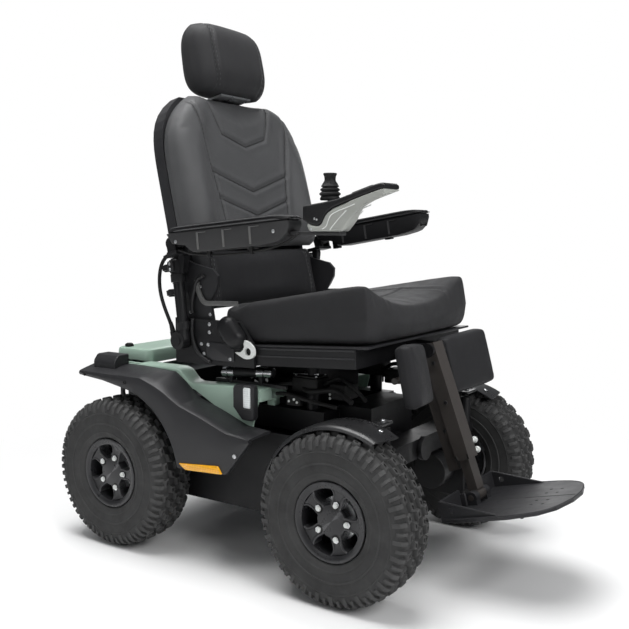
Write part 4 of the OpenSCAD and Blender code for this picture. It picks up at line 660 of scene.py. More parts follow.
# Lamps, reflectors and deck knobs
for side, name in SIDES:
    to = flank(side)
    across = lambda y, x, z: to(x, y, z)
    shell = [(6.25, 361.2), (6.25, 404), (9, 410), (16, 413.6), (56, 414), (61, 411), (64, 405), (64, 342), (61, 336), (56, 334),
             (35, 334), (30, 336)]
    glass = [(38.5, 364), (38.5, 406), (41, 408.6), (56, 408.6), (58.2, 406), (58.2, 365), (56, 362.6), (41, 362.6)]
    corners = [np.array((PANEL_X0 + s * PANEL_L, PANEL_Z0 + h * PANEL_H))
               for s, h in ((.622, .065), (.66, .005), (.865, .035), (.842, .115))]
    outline = []
    for k in range(4):
        b = corners[k]
        a, c = ((p - b) / np.linalg.norm(p - b) for p in (corners[k - 1], corners[(k + 1) % 4]))
        outline += [b + 3 * a, b + .9 * (a + c), b + 3 * c]
    tail = [(245.6, 426.4), (294, 418.2), (294, 431), (292, 437), (286, 444), (282, 448.5), (277, 450), (245.6, 450)]
    pod_steps = (245.5, .97), (247, 1), (258, 1), (261.5, .985), (263.3, .94), (263.6, .9)
    bezel_steps = (262.5, 1.16), (265.4, 1.15), (266.2, 1.1), (266.2, 1.03), (262.5, 1.02)
    piece("lamp_pod_" + name, [stack(shell, pod_steps, to, 37, 374)], "panel_black", "chassis",
          once(side, "headlamp_pods"))
    piece("lamp_lens_" + name, [stack(glass, ((262, 1), (265.5, 1), (267, .95), (267.6, .86)), to, 48, 386)], "lamp_white",
          "chassis", once(side, "headlamp_lenses"))
    piece("lamp_bezel_" + name, [stack(glass, bezel_steps, to, 48, 386)], "rim_black", "chassis")
    piece("reflector_" + name, [stack(outline, ((323.5, 1), (326.4, 1), (327.2, .97), (327.4, .93)), to, *sum(corners) / 4)],
          "amber", "chassis", once(side, "reflectors"))
    piece("tail_lamp_" + name, [stack(tail, ((-407.7, .93), (-406, 1), (-336, 1), (-334.5, .93)), across, 270, 434)],
          "panel_black", "chassis", once(side, "tail_lamps"), bevel=1.2)
    piece("tail_lens_" + name, [stack([(251, 429), (288, 424), (288, 432), (279, 445), (251, 445)],
                                      ((-406.9, 1), (-408.8, .98), (-409.5, .9)), across, 270, 436)], "amber", "chassis")
    parts = [turned([(9, 0), (10, .8), (10, 5), (9, 7.6), (6, 9)], 28, upright(to, -389, 192, 458))]
    parts += [turned([(1.1, .6), (1.2, 1.4), (1.2, 5), (.6, 6.2)], 8, upright(to, -389 + 9.8 * c, 192 + 9.8 * s, 458))
              for c, s in circle(10)]
    piece("deck_knob_" + name, parts, "rubber", "chassis", once(side, "deck_knobs"))

# Upholstery
CLOTH_FRAMES, CLOTH_PRESSURE, SEAM_DEPTH = 20, 4.0, 3.2


def full(a, sharp):
    return max(0.0, 1 - abs(a) ** sharp) ** (1 / 2.4)


def points(me):
    out = np.empty(len(me.vertices) * 3)
    me.vertices.foreach_get("co", out)
    return out.reshape(-1, 3)


def swell(ob, held, cap):
    """Blows the cover up a little with Blender's cloth, held along its underside and edges; caps and keeps the result."""
    group = ob.vertex_groups.new(name="held")
    group.add(held, 1.0, "REPLACE")
    mod = ob.modifiers.new("cloth", "CLOTH")
    mod.settings.use_pressure = True
    mod.settings.uniform_pressure_force = CLOTH_PRESSURE
    mod.settings.vertex_group_mass = "held"
    mod.settings.effector_weights.gravity = 0
    mod.settings.bending_stiffness = 1.5
    mod.collision_settings.use_collision = False
    mod.point_cache.frame_start, mod.point_cache.frame_end = 1, CLOTH_FRAMES
    rest = points(ob.data)
    for f in range(1, CLOTH_FRAMES + 1):
        scene.frame_set(f)
    move = points(ob.evaluated_get(bpy.context.evaluated_depsgraph_get()).to_mesh()) - rest
    move *= np.minimum(1, cap / np.maximum(np.linalg.norm(move, axis=1, keepdims=True), 1e-9))
    ob.modifiers.remove(mod)
    ob.vertex_groups.remove(group)
    ob.data.vertices.foreach_set("co", (rest + move).ravel())
    ob.data.update()
    scene.frame_set(1)


def eased(n):
    """Steps from -1 to 1 that close up towards both ends."""
    return [math.sin(PI / 2 * t) * .55 + t * .45 for t in (2 * i / n - 1 for i in range(n + 1))]


def cushion(name, form, cols, rows, to, body, stands_for, cap, mat, seams=()):
    """A padded cover from form(s, t, side): blown up, subdivided, then drawn in along its sewn seams.

    A seam is the direction that it faces, the two directions of its points, and the points."""
    es, et = eased(cols), eased(rows)
    w, size = cols + 1, (cols + 1) * (rows + 1)
    face = grid(rows + 1, w)
    rim = list(range(w)) + [j * w + cols for j in range(1, rows + 1)] + [rows * w + i for i in range(cols - 1, -1, -1)] + \
        [j * w for j in range(rows - 1, 0, -1)]
    faces = face + [tuple(size + i for i in f[::-1]) for f in face]
    faces += [(a, size + a, size + b, b) for a, b in zip(rim, rim[1:] + rim[:1])]
    ob = linked(name, [to(*form(s, t, side)) for side in (1, 0) for t in et for s in es], faces, mat, False)
    swell(ob, list(range(size, 2 * size)) + rim, cap)
    bpy.context.view_layer.objects.active = ob
    ob.select_set(True)
    ob.modifiers.new("smooth", "SUBSURF").levels = 1
    bpy.ops.object.modifier_apply(modifier="smooth")
    me = ob.data
    me.polygons.foreach_set("use_smooth", [True] * len(me.polygons))
    # The placing function's own directions
    o, *ends = (Vector(to(*p)) for p in ((0, 0, 0), (1000, 0, 0), (0, 1000, 0), (0, 0, 1000)))
    axes = [e - o for e in ends]
    pos = points(me)
    here = np.stack([(pos - np.array(o)) @ np.array(a) for a in axes], 1) * 1000
    normals = np.array([v.normal[:] for v in me.vertices])
    for out, a, b, line in seams:
        flat = [np.array(p, float) for p in line]
        dist = np.full(len(here), 1e9)
        for p, q in zip(flat, flat[1:]):
            d, rel = q - p, here[:, (a, b)] - p
            k = np.clip(rel @ d / max(d @ d, 1e-9), 0, 1)
            dist = np.minimum(dist, np.linalg.norm(rel - k[:, None] * d, axis=1))
        drop = SEAM_DEPTH * np.exp(-(dist / 4.2) ** 2) - 1.1 * np.exp(-((dist - 11) / 6) ** 2)
        pos -= np.where(normals @ np.array(axes[out]) > .1, drop, 0)[:, None] / 1000 * np.array(axes[out])
    me.vertices.foreach_set("co", pos.ravel())
    me.update()
    tree = BVHTree.FromPolygons([Vector(p) for p in pos], [tuple(f.vertices) for f in me.polygons])
    threads, stitches = [], []
    for out, a, b, line in seams:
        fine = []
        for p, q in zip(line, line[1:]):
            n = max(2, int(math.dist(p, q) / 5))
            fine += [(p[0] + (q[0] - p[0]) * k / n, p[1] + (q[1] - p[1]) * k / n) for k in range(n)]
        path, ups = [], []
        for p in fine + [line[-1]]:
            at = [0, 0, 0]
            at[out], at[a], at[b] = 400, p[0], p[1]
            hit, normal = tree.ray_cast(Vector(to(*at)), -axes[out])[:2]
            if hit is not None:
                path.append(hit + normal * .0002)
                ups.append(normal)
        if len(path) < 4:
            continue
        threads.append(tube(path, 1.15, 8))
        gone = 0
        for k in range(1, len(path) - 1):
            gone += (path[k] - path[k - 1]).length
            if gone < .0078:
                continue
            gone = 0
            along = (path[k + 1] - path[k - 1]).normalized()
            for way in (-1, 1):
                hit, normal = tree.find_nearest(path[k] + along.cross(ups[k]).normalized() * way * .0052)[:2]
                c = hit + normal * .0003
                stitches.append(tube([c - along * .0024, c - along * .0014 + normal * .0004,
                                      c + along * .0014 + normal * .0004, c + along * .0024], .45, 6))
    dress(ob, body, stands_for)
    if threads:
        piece(name + "_seams", threads, "thread", body, flat=35)
        piece(name + "_stitches", stitches, "stitch", body, flat=35)


def sewn(*lines, facing=(0, 1, 2), pairs=()):
    """Seams along lines, and along each of the pairs on both sides of the middle."""
    return [(*facing, line) for line in lines] + [(*facing, [(way * y, w) for y, w in line]) for line in pairs for way in (1, -1)]


BACK_TOP, PAD_U0, PAD_SPLIT, PAD_LOW, LUMBAR_LOW = 575, 26.6, 200, 88, 60
HEAD_LOW, HEAD_H, HEAD_MID = 583.3, 178, 56
SEAT_X0, SEAT_L, SEAT_Z0 = -62, 410, 18.3


def back_form(s, t, side):
    rise, h = (t + 1) / 2, BACK_TOP - PAD_SPLIT - 4
    panel = 1 / (1 + math.exp((abs(s) - .66) * 26))
    w = PAD_SPLIT + 4 + h * (rise - .06 * (1 - min(1, abs(s) / .62)) * full(t, 4) * rise)
    high = (PAD_SPLIT + rise * h - PAD_LOW) / (BACK_TOP - PAD_LOW)
    y = 253 * (1 if high < .55 else 1 - .45 * ((high - .55) / .45) ** 3.4) * s
    wing = 13 * math.exp(-((abs(s) - .84) / .13) ** 2) * max(0, 1 - (rise / .75) ** 2)
    u = 20 + (40 + wing) * full(s, 14) * full(t, 10) - 13 * panel * full(t, 6) if side else 19 * (1 - full(s, 50) * full(t, 50))
    return PAD_U0 + u, y, w


def lumbar_form(s, t, side):
    y = 235 * s * (1 - .025 * (1 - t * t))
    w = LUMBAR_LOW + (PAD_SPLIT - 4 - LUMBAR_LOW) * (t + 1) / 2
    u = 17 + 28 * full(s, 9) * full(t, 7) if side else 16 * (1 - full(s, 14) * full(t, 14))
    return PAD_U0 + u, y, w


def seat_form(s, t, side):
    rise = 79 + 53 * abs(s) ** 2.2 * max(0, (t + 1) / 2) - 6 * (1 - s * s) * max(0, t) ** 3
    x = SEAT_X0 + SEAT_L * (1 + t * (1 - (.2 if t < 0 else .03) * abs(s) ** 8)) / 2
    y = 245 * s * (1 - .03 * max(0, t) ** 8) * (1 - .022 * (1 - t * t))
    edge = rise * .42
    z = edge + 1 + (rise - edge - 2) * full(s, 60) * full(t, 60) if side else edge * (1 - full(s, 24) * full(t, 24))
    return x, y, SEAT_Z0 + z


def head_form(s, t, side):
    fill = full(s, 3.4) * full(t, 3.2)
    y = 127.5 * s * (1 - (.2 if t > 0 else .14) * abs(t) ** 4)
    w = HEAD_LOW + HEAD_H * (1 + t * (1 - .06 * abs(s) ** 4)) / 2
    return HEAD_MID + (1 + 59 * fill if side else -1 - 58 * fill * (1 - .2 * t)), y, w


yoke = [(-122, 566), (-104, 522), (-84, 478), (0, 452), (84, 478), (104, 522), (122, 566)]
side_seam = [(-178, 556), (-168, 500), (-158, 440), (-147, 384), (-134, 318), (-128, 262), (-128, 214)]
long_seam = [(-158, -50), (-160, 40), (-158, 160), (-150, 262), (-146, 334)]
head_seam = [(-80, 594), (-90, 636), (-90, 700), (-78, 754)]
# The seat and headrest covers take a darker copy of the back's leather, and the lumbar cover a darker one still, as
# painted shade
cushion("back_cover", back_form, 64, 56, back, "back", ["back_cushion"], .006, "leather",
        sewn(yoke, [(-147, 384), (0, 338), (147, 384)], [(-134, 318), (0, 278), (134, 318)], pairs=[side_seam]))
cushion("lumbar_cover", lumbar_form, 44, 20, back, "back", ["lumbar_pad"], .005, "leather_side",
        sewn(pairs=[[(-192, 76), (-194, 130), (-190, 186)]]))
# The cross seam of the seat comes after the long ones
cushion("seat_cover", seat_form, 60, 54, seat, "seat", ["seat_cushion"], .006, "leather_seat",
        sewn(pairs=[long_seam], facing=(2, 1, 0)) + sewn([(-155, 205), (0, 214), (155, 205)], facing=(2, 1, 0)))
cushion("head_cover", head_form, 40, 34, back, "headrest", ["headrest_pad"], .004, "leather_seat",
        sewn(pairs=[head_seam]))

# Armrests: ribbed shells with a padded top
ARM_PAD_L, ARM_PAD_Z, SHELL_TOP = 336, 21.3, 20.9
under_rows = [(-3, 18), (2, 11), (10, -2.5), (30, -6), (46, -8.2), (56, -15), (66, -23), (80, -26.3), (259, -25), (290, -21.5),
              (304, -18.6), (313, -12), (321, -5), (328, 10.5)]


def arm_fall(t):
    return 5 * max(0, (t - .7) / .3) ** 2 + 3 * max(0, (-t - .74) / .26) ** 2


def arm_form(s, t, top):
    y = 29.6 * s * (1 - .22 * max(0, t) ** 12 - .28 * max(0, -t) ** 12)
    z = 6 + 8.6 * full(s, 6) * full(t, 14) - arm_fall(t) if top else 5 * (1 - full(s, 14) * full(t, 20))
    return -4 + ARM_PAD_L * (1 + t) / 2, y, ARM_PAD_Z + z


for side, name in SIDES:
    to, body = shifted(flank(side, arms[side]), 0, ARM_Y), "arm_" + name
    rings = []
    for x in (-3 + 330.6 * k / 96 for k in range(97)):
        low = blend_at(under_rows, x)[0]
        half = 27.3 - 4 * max(0, (x - 306) / 22) ** 2 - 2 * max(0, (12 - x) / 15) ** 2
        r = min(6, (SHELL_TOP - low) * .4)
        line = [(half, SHELL_TOP), (half, low + r), (half - r * .3, low + r * .3), (half - r, low)]
        rings.append([to(x, y, z) for y, z in line + [(0, low)] + [(-y, z) for y, z in line[::-1]]])
    parts = [loft(rings)]
    # Raised ribs with a short ledge at their heads, on both faces, in a paler finish than the shell as a painted
    # highlight on their edges; the near arm's are paler still
    ribs = []
    for at in (88, 160, 232):
        low = blend_at(under_rows, at)[0]
        for face in (-1, 1):
            for x0, x1, z0, z1 in ((at - 2.6, at + 2.6, low + 6, 17.5), (at + 2, at + 24, 15.2, 17.5)):
                ribs.append(loft([[to(x, face * y, z) for y, z in ((26.6, z0), (28.7, z0 + .8), (28.7, z1 - .8), (26.6, z1))]
                                  for x in (x0, x0 + .9, x1 - .9, x1)]))
    piece("arm_%s_ribs" % name, ribs, "bar_grey" if side < 0 else "arm_grey", body)
    parts += boxes(to, (40, -9, -29.4, 60, 9, -5, 3), (205, -9, -29.4, 225, 9, -5, 3))
    if side < 0:
        parts.append(round_box(chair, 163.1, -ARM_Y - 12, 741.1, 313, -ARM_Y + 12, 748.9, 2.5))
    parts.append(turned([(7.1, -10.8), (13.4, -10.8), (14, -10), (14, 10), (13.4, 10.8), (7.1, 10.8)], 36, to))
    # The near arm's shell is a paler copy of the far arm's black plastic, as painted light on the lit side
    piece("arm_%s_moulding" % name, parts, "arm_grey" if side < 0 else "arm_black", body, ["arm_shell_" + name])
    # A dark lip round the shell's open front end
    nose = [[to(x, y * f, z * f + 2) for y, z in ((19, 15), (19, -6), (14, -13), (-14, -13), (-19, -6), (-19, 15))]
            for x, f in ((318, 1), (323.4, .93), (322, .8), (316, .78))]
    piece("arm_%s_mouth" % name, [loft(nose)], "rubber", body, flat=40)
    side_bolts(body, to, side, 4, 1.6, ((24, 27.2, 2), (292, 27.2, 2)))
    # The arm pads take the darkest copy of the leather, as painted shade
    cushion("arm_%s_cover" % name, arm_form, 18, 60, to, body, ["arm_pad_" + name], .0016, "leather_arm")
    # Piping paler than the pad, as a painted highlight along it: the near arm's in the back's plain leather, the far
    # arm's in a darker copy as painted shade
    piping = []
    for lift, shrink in ((4.2, .99), (11.6, .95)):
        rim = []
        for t, s in (polar(1, 2 * PI * k / 120) for k in range(121)):
            t, s = math.copysign(abs(t) ** .2, t), math.copysign(abs(s) ** .45, s)
            x, y, z = arm_form(s * shrink, t * (1 - (1 - shrink) * .2), 1)
            rim.append(to(x, y, ARM_PAD_Z + lift - arm_fall(t) * lift / 12))
        piping.append(tube(rim, 1.3, 8))
    piece("arm_%s_piping" % name, piping, "leather" if side < 0 else "leather_side", body, flat=0)
# The joystick's lead runs on under the right arm, held by two clips
run = curve([(20, -16), (60, -27), (110, -33), (165, -36), (225, -35), (280, -30), (320, -20), (345, -8)])
near = shifted(arms[-1], 0, -ARM_Y)
piece("arm_lead", [tube([near(u, -16, w) for u, w in run], 2.6)], "rubber", "arm_right", flat=0)
piece("arm_lead_clips", boxes(near, (106, -21, -38, 114, -11, -20, 1.5), (221, -21, -40, 229, -11, -20, 1.5)), "rubber",
      "arm_right")

# Joystick pod: grey keel, black cover, screen, buttons, bellows and stick; lines in shares of its length and height
POD_L, POD_H, POD_HALF = 184, 91, 31
cover_top = [(0, .55), (.12, .585), (.25, .62), (.35, .655), (.45, .69), (.6, .783), (.75, .877), (.9, .97), (.95, .99),
             (.985, .99), (1, .95)]
split = [(.02, .23), (.07, .18), (.125, .14), (.17, .12), (.21, .125), (.25, .19), (.275, .29), (.305, .39), (.38, .49),
         (.52, .59), (.75, .735), (.95, .855), (1, .87)]
keel = [(.06, .1), (.075, .03), (.1, 0), (.5, 0), (.545, .11), (.58, .21), (.614, .3), (.68, .42), (.75, .53), (.85, .61),
        (.96, .69), (1, .76)]
STICK_X, STICK_Z = .25 * POD_L, .457 * POD_H
stick_at = upright(pod, STICK_X, 0, STICK_Z)
WELL = turned([(26.6, -14), (26.6, 60)], 48, stick_at)


def pod_ring(x, z0, z1, half, r, rise=0):
    """Rounded section of the pod; its belly rises towards the rider's side."""
    r = min(r, (z1 - z0 - rise) * .45)
    return [pod(x, y, z + (rise if k > 14 else 0)) for k, (y, z) in enumerate(rounded(-half, half, z0, z1, r, r, 4))]


def bored(ob, verts, faces):
    """Cuts a closed shape out of a piece's mesh."""
    me = bpy.data.meshes.new("bore")
    me.from_pydata(verts, [], faces)
    tool = bpy.data.objects.new("bore", me)
    scene.collection.objects.link(tool)
    cut = ob.modifiers.new("bore", "BOOLEAN")
    cut.operation, cut.object, cut.solver = "DIFFERENCE", tool, "EXACT"
    bpy.context.view_layer.objects.active = ob
    bpy.ops.object.modifier_apply(modifier="bore")
    bpy.data.objects.remove(tool)


upper, lower = [], []
for k in range(49):
    f = .003 + .994 * k / 48
    z1, z0 = blend_at(cover_top, f)[0] * POD_H, blend_at(split, f)[0] * POD_H + .2
    half = (POD_HALF - .4) * (1 - .06 * max(0, (f - .9) / .1) ** 2) - 3 * max(0, (.05 - f) / .05) ** 2
    upper.append(pod_ring(f * POD_L, min(z0, z1 - 5), z1, half, 4.5))
    f = .062 + .934 * k / 48
    z1, z0 = blend_at(split, f)[0] * POD_H - .3, blend_at(keel, f)[0] * POD_H
    half = POD_HALF * (1 - .06 * max(0, (f - .9) / .1) ** 2) - 3 * max(0, (.1 - f) / .04) ** 2
    z0 = min(z0, z1 - 3)
    lower.append(pod_ring(f * POD_L, z0, z1, half, 7, min(27, 210 * max(0, f - .4), .8 * (z1 - z0))))
cover = piece("pod_cover_moulding", [loft(upper)], "pod_black", "arm_right", ["pod_cover"], flat=32)
bored(cover, *WELL)
bored(piece("pod_keel_moulding", [loft(lower)], "pod_grey", "arm_right", ["pod_keel"], flat=32), *WELL)


def pod_top(share):
    """Placing function on the pod's sloping top at a share of its length: forward, across, up."""
    x, z = share * POD_L, POD_H * (.69 + .28 * (share - .45) / .45)
    c, s = polar(1, math.atan2(.28 * POD_H, .45 * POD_L))
    return lambda u, y, w: pod(x + u * c - w * s, y, z + u * s + w * c)


face = pod_top(.72)
piece("pod_screen_glass", boxes(face, (-22.5, -21.5, .2, 22.5, 21.5, 1.4, 4)), "screen", "arm_right",
      ["pod_screen"], flat=35)
piece("pod_bezel", [hoop([[face(x, y, w) for x, y in rounded(-22.5, 22.5, -21.5, 21.5, 4, 4 + grow, 4)] for w, grow in (
    (-.4, 3.2), (1.2, 3), (2, 2.2), (2, 1), (.6, .6), (-.4, .6))])], "rubber", "arm_right")
for node, y, body in (("power_button", 15, "power_key"), ("mode_button", -15, "mode_key")):
    spot = upright(pod_top(.53), 0, y, 0)
    bored(cover, *turned([(6.4, -7), (6.4, 9)], 28, spot))
    cap = [(5.6, -3), (5.9, -2), (5.9, .8), (5.2, 1.7), (3.4, 2), (2.6, 1.5), (1, 1.4)]
    piece(node + "_cap", [turned(cap, 28, spot)], "pod_grey", body, [node])
    collar = [(6.5, -1), (8.4, -1), (8.6, .3), (7.6, .9), (6.5, .6)]
    piece(node + "_collar", [ring_turned(collar, 32, spot)], "rubber", "arm_right")
# Pale moulded sweeps on both sides of the keel, and its screws
sweeps = [[(.26, .05), (.31, .11), (.335, .22), (.37, .34), (.45, .425), (.55, .49), (.66, .565)],
          [(.356, .035), (.39, .11), (.475, .285), (.56, .44)]]
parts = []
for face in (-1, 1):
    parts += [tube([pod(x * POD_L, face * (POD_HALF - .4), z * POD_H) for x, z in curve(line, 8)], 1.2, 8)
              for line in sweeps]
    side_bolts("arm_right", pod, face, 2.2, 1.2, [(x * POD_L, face * (POD_HALF - .9), z * POD_H)
                                                  for x, z in ((.16, .27), (.19, .25), (.12, .05))])
piece("pod_sweeps", parts, "pale_trim", "arm_right", flat=0)
boot = [(5, 19), (18.4, 19), (19.6, 20.2), (20, 22.6), (18.4, 26), (17.2, 27.4), (19.6, 28.6), (21, 30.4), (21, 32.6),
        (17.4, 35.4), (15.8, 36.4), (18, 37.4), (19.2, 38.8), (19.2, 40.8), (16, 43.2), (14.6, 44.2), (14.6, 45), (5, 45)]
piece("joystick_bellows", [ring_turned(boot, 48, stick_at)], "rubber", "stick", ["joystick_boot"], flat=50)
grip = [(4.8, 44), (12, 44.4), (17, 45), (17.6, 46.6), (16, 49), (13.2, 52.4), (11, 56.4), (10.4, 60), (11, 64), (12.6, 67.6),
        (13.4, 69.4), (13.4, 70.8), (12.4, 71.9), (9, 72.3), (4, 72.1), (1, 72)]
shaft = [(1, -8.6), (5, -7.6), (8, -4), (9, 0), (8, 4), (4.9, 7.4), (4.9, 46)]
pin = turned([(1.4, -20.8), (1.95, -20.4), (1.95, 20.4), (1.4, 20.8)], 16, shifted(pod, STICK_X, 0, STICK_Z))
flutes = [tube([stick_at(r * c, h, r * s) for r, h in ((15, 50), (12.9, 52.8), (10.8, 56.4), (10.2, 60), (10.8, 64))], .8, 6)
          for c, s in circle(14)]
piece("joystick_grip", [turned(grip, 48, stick_at), turned(shaft, 32, stick_at), pin] + flutes, "rubber", "stick",
      ["joystick_knob"], flat=40)

# Legrest: padded calf rests, clamp knobs and trim
CALF_YAW, CALF_PITCH = polar(1, math.radians(17)), polar(1, math.radians(6.5))


def calf_form(s, t, front):
    c = -2 + 20.6 * full(s, 20) * full(t, 20) if front else -3 - 16 * full(s, 24) * full(t, 24)
    return c, 75.5 * s * (1 - .07 * abs(t) ** 8), 67 * t * (1 - .07 * abs(s) ** 8)


def calf(c, a, b):
    (cy, sy), (cp, sp) = CALF_YAW, CALF_PITCH
    forward = c * cp + b * sp
    return leg(6 + forward * cy + a * sy, side * (127 - forward * sy + a * cy), b * cp - c * sp - 44)


# The calf covers take the lumbar's darker copy of the leather, as painted shade
for side, name in SIDES:
    cushion("calf_%s_cover" % name, calf_form, 22, 20, calf, "legrest", once(side, "calf_pads"), .003, "leather_side")
    side_bolts("legrest", flank(side, leg), side, 4.4, 2,
               ((-24, 16.8, -70), (-24, 16.8, -180), (2, 22.4, -30), (2, 22.4, -120)), "motor_black")
for down in (218, 240):
    knob = [(4, 0), (4, 14), (7, 15.4), (7.6, 18), (7.2, 23), (5.4, 26), (1, 27)]
    piece("leg_knob_%d" % down, [turned(knob, 20, shifted(leg, 12, 16, -down))], "pale_trim", "legrest", flat=40)
piece("leg_collar", boxes(leg, *((u - 2.2, -23.2, -249.4, u + 2.2, 23.2, -238, 1.4) for u in (-13.6, 13.6))), "rubber",
      "legrest")

# Footplate: rolled edges, a centre seam, pressed dimples and ribs below
PLATE_L, PLATE_HALF = 220, 146
edge = curve([(PLATE_L * a - 1, PLATE_HALF * b - 1)
              for a, b in ((-.112, .95), (.25, 1), (.55, .98), (.8, .86), (.93, .62), (1, .2))])
parts = [tube([foot(x, y, -16.4) for x, y in edge] + [foot(x, -y, -16.4) for x, y in edge[::-1]], 1.5, 8)]
wall = [(-23, 46, 19.6), (-23, 134, 19.6), (-21, 135.7, 19.4), (-10, 135.7, 16), (40, 135.7, 1.6), (96, 135.7, -15.4)]
for side, y0, y1 in ((-1, -47, -40), (1, 40, 47)):
    parts += [tube([foot(x, side * y, z) for x, y, z in wall], 2, 8), round_box(foot, -25.6, y0, -24, -8, y1, 12, 2)]
piece("foot_edges", parts, "panel_black", "foot", flat=40)
parts = [tube([foot(x, 0, -16.2) for x in (14, 80, 150, 214)], 1, 6)]
parts += [turned([(3.6, -.6), (3.6, .3), (2.6, .5), (1, .3)], 16, upright(foot, x, y, -16))
          for x in (142, 166) for y in (-62, -30, 30, 62)]
piece("foot_marks", parts, "rubber", "foot", flat=40)
ribs = [(x - 3, -118, -30, x + 3, 118, -24.2, 1.4) for x in (20, 80, 140)]
ribs += [(-20, y - 14, -34, 56, y + 14, -24.2, 4) for y in (-96, 96)]
piece("foot_ribs", boxes(foot, *ribs), "frame_black", "foot")

# Hinges, drives and looms
HOOK_X, HOOK_Z, DRIVE_X, DRIVE_Z = 48, 487, 3, 526
hook_line = [(-14, 25.6), (-4, 24), (5.5, 20), (13, 14), (17.7, 7), (18.6, 0), (17.6, -7), (12.5, -12.4), (5, -15.6), (-4, -16.6),
             (-12.5, -15.4), (-24, -10.5), (-36, -4.6), (-35.8, -3.6), (-26, -3.4), (-19.5, -1.5), (-13.5, 4), (-10.6, 10.4),
             (-12, 18), (-15, 24.8)]
# The drive's outline: two half rounds on a slanting line
drive_line = [(way * 11 + 24.5 * math.cos(turn), way * -12 + 24.5 * math.sin(turn)) for way in (1, -1)
              for turn in (2.33 + PI / 2 * way + PI * i / 15 for i in range(16))]
collars = [[(13.1, 132), (16.4, 132), (17.4, 133.4), (17.4, 150), (16, 151), (16, 153), (17.4, 154), (17.4, 182), (16.4, 183.4),
            (13.1, 183.4)], [(13.1, 24), (15.4, 24), (16, 25), (16, 40), (15.4, 41), (13.1, 41)],
           [(13.1, 128.4), (14.4, 128.4), (14.4, 130.6), (13.1, 130.6)]]
looms = (([(-20, 150, 412), (40, 168, 398), (100, 150, 408), (150, 172, 396), (210, 160, 402), (262, 176, 384)], 6),
         ([(-10, 120, 420), (50, 130, 410), (98, 142, 410)], 5),
         ([(168, 140, 408), (200, 128, 424), (240, 140, 412), (270, 128, 380)], 5), ([(168, 128, 402), (186, 122, 396)], 6.5),
         ([(30, 182, 376), (90, 186, 388), (160, 184, 378), (230, 188, 372)], 4.5))
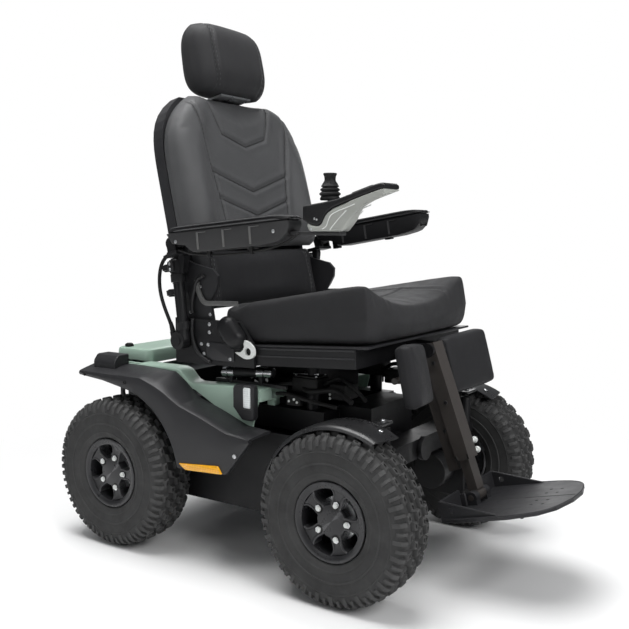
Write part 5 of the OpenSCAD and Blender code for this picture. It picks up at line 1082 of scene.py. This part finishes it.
for side, name in SIDES:
    to, on_back, on_seat = flank(side), flank(side, back), flank(side, seat)
    on_hook = shifted(to, HOOK_X, 0, HOOK_Z)
    hook = piece("recline_hook_" + name, [stack(hook_line, ((255, .98), (255.6, 1), (260.6, 1), (261.4, .96)), on_hook)],
                 "pale_trim", "seat", once(side, "recline_quadrants"))
    bored(hook, *turned([(8.6, 250), (8.6, 266)], 32, on_hook))
    # Recline drive under a tapering cover
    drive_steps = (255, 1), (262, 1), (266, .97), (272, .9), (277, .78), (280, .6), (281, .36)
    piece("recline_cover_" + name, [stack(drive_line, drive_steps, shifted(to, DRIVE_X, 0, DRIVE_Z))],
          "frame_black", "seat", once(side, "recline_covers"), flat=40)
    plate = boxes(lambda x, z, y: to(x, y, z), (-74, 460, 255, 6, 500, 257.4, 4))
    plate += boxes(lambda x, z, y: on_seat(x, y, z), (64, 8.4, 246.9, 312, 12, 248.4, .7), (64, -7.4, 246.9, 312, -4, 248.4, .7))
    piece("seat_trim_" + name, plate, "panel_black", "seat")
    side_bolts("seat", to, side, 4.2, 2.4, ((-66, 254.6, 522), (-90, 254.6, 494), (-83, 254.6, 472), (-66, 254.6, 540),
                                            (-120, 254.6, 536), (-4, 257.2, 466), (-68, 257.2, 494)))
    # Back: bar over the seat's corner, flange bolts, cane collars and clamp
    bar = curve([(60.5, 129), (59.5, 108), (64, 87), (75, 73), (108, 66), (141, 60), (166, 54.4)])
    rings = []
    for k, (u, w) in enumerate(bar):
        du, dw = bar[min(k + 1, len(bar) - 1)] - bar[max(k - 1, 0)]
        d = math.hypot(du, dw)
        rings.append([on_back(u - dw / d * h, y, w + du / d * h)
                      for y, h in ((245.6, -5.4), (250.4, -5.4), (252, 0), (250.4, 5.4), (245.6, 5.4))])
    piece("lumbar_bar_" + name, [loft(rings)], "bar_grey", "back", flat=35)
    # A bent link beside the flange, and its lower half on the hinge plate
    link = [on_back(u, 250.4, w) for u, w in curve([(84, 133), (64, 127), (46, 100), (35, 76), (31.5, 57)])]
    piece("link_" + name, [tube(link, 4.6, 12)], "motor_black", "back", flat=40)
    link = [to(x, 259.2, z) for x, z in curve([(-113, 551), (-115, 530), (-113, 506), (-104, 484), (-88, 467), (-62, 455)])]
    piece("hinge_rim_" + name, [tube(link, 4.2, 12)], "motor_black", "seat", flat=40)
    side_bolts("back", on_back, side, 4, 2.2, [(u, 243.8, w) for u, w in ((79, 45), (76, 22), (64, 112), (22, 60), (22, 140))])
    c, s = polar(1, CANE_LEAN)
    cane = lambda p, a, q: on_back(CANE_FOOT + a * s + p * c, CANE_Y + q, a * c - p * s)
    piece("cane_collars_" + name, [ring_turned(rows, 36, cane) for rows in collars], "frame_black", "back")
    clamp = boxes(lambda x, y, z: cane(x, z, -y), (-8, -24, 156, 8, -14, 180, 3))
    clamp += boxes(lambda x, y, z: cane(x, z, y), (-26, -7, 158, -14, 7, 178, 3))
    piece("cane_clamp_" + name, clamp, "motor_black", "back")
    side_bolts("back", cane, side, 3.4, 2, ((0, 162, 24), (0, 174, 24)))
    # Tilt drive: polished rod in a dark collar, on two feet, above each rail
    rod = lambda p, a, q: to(a, 204 + p, 430 + .066 * a + q)
    bright = [turned([(10, x0), (12, x0 + 1.4), (12, x1 - 1.4), (10, x1)], 32, rod)
              for x0, x1 in ((-67, -52), (-50, -33), (33, 52), (54, 75))]
    piece("tilt_rod_" + name, bright, "polished_steel", "chassis")
    dark = [turned([(8, -69), (9, -68), (9, -34), (10.4, -32), (10.4, 32), (9, 34), (9, 76), (8, 77)], 32, rod)]
    dark += boxes(to, (-47, 196, 372, -37, 212, 424, 3), (38, 196, 372, 48, 212, 424, 3), (-90, 199, 402, 112, 209, 410, 2))
    piece("tilt_drive_" + name, dark, "motor_black", "chassis")
    piece("stay_" + name, [tube([to(92, 150, 428.4), to(125, 150, 430.4), to(158, 150, 432)], 2.2)], "polished_steel", "chassis",
          flat=40)
    side_bolts("chassis", to, side, 3, 1.6,
               ((106, 188.6, 373), (120, 188.6, 378), (128, 188.6, 372), (190, 150, 391), (190, 150, 382)), "pale_trim")
    # Junction boxes and looms under the seat
    parts = boxes(to, (98, 116, 392, 168, 168, 424, 5), (102, 120, 424, 164, 164, 428, 5), (186, 96, 380, 232, 150, 414, 6),
                  (98, 176, 364, 136, 188.8, 385, 3))
    parts += [tube([to(*p) for p in curve(path)], r) for path, r in looms]
    piece("looms_" + name, parts, "rubber", "chassis", flat=35)
    for x, y in ((106, 124), (160, 124), (106, 160), (160, 160)):
        bolt("chassis", to(x, y, 427.8), (0, 0, 1), 3, 1.6)
# Back shell: pressed ribs across its rear face
piece("shell_ribs", boxes(back, *((-5.4, -150, w, -3.6, 150, w + 10, .8) for w in (230, 300, 370, 440))), "panel_black", "back")

for (body, mat), parts in BOLTS.items():
    piece("bolts_%s_%s" % (body, mat), parts, mat, body, flat=35)
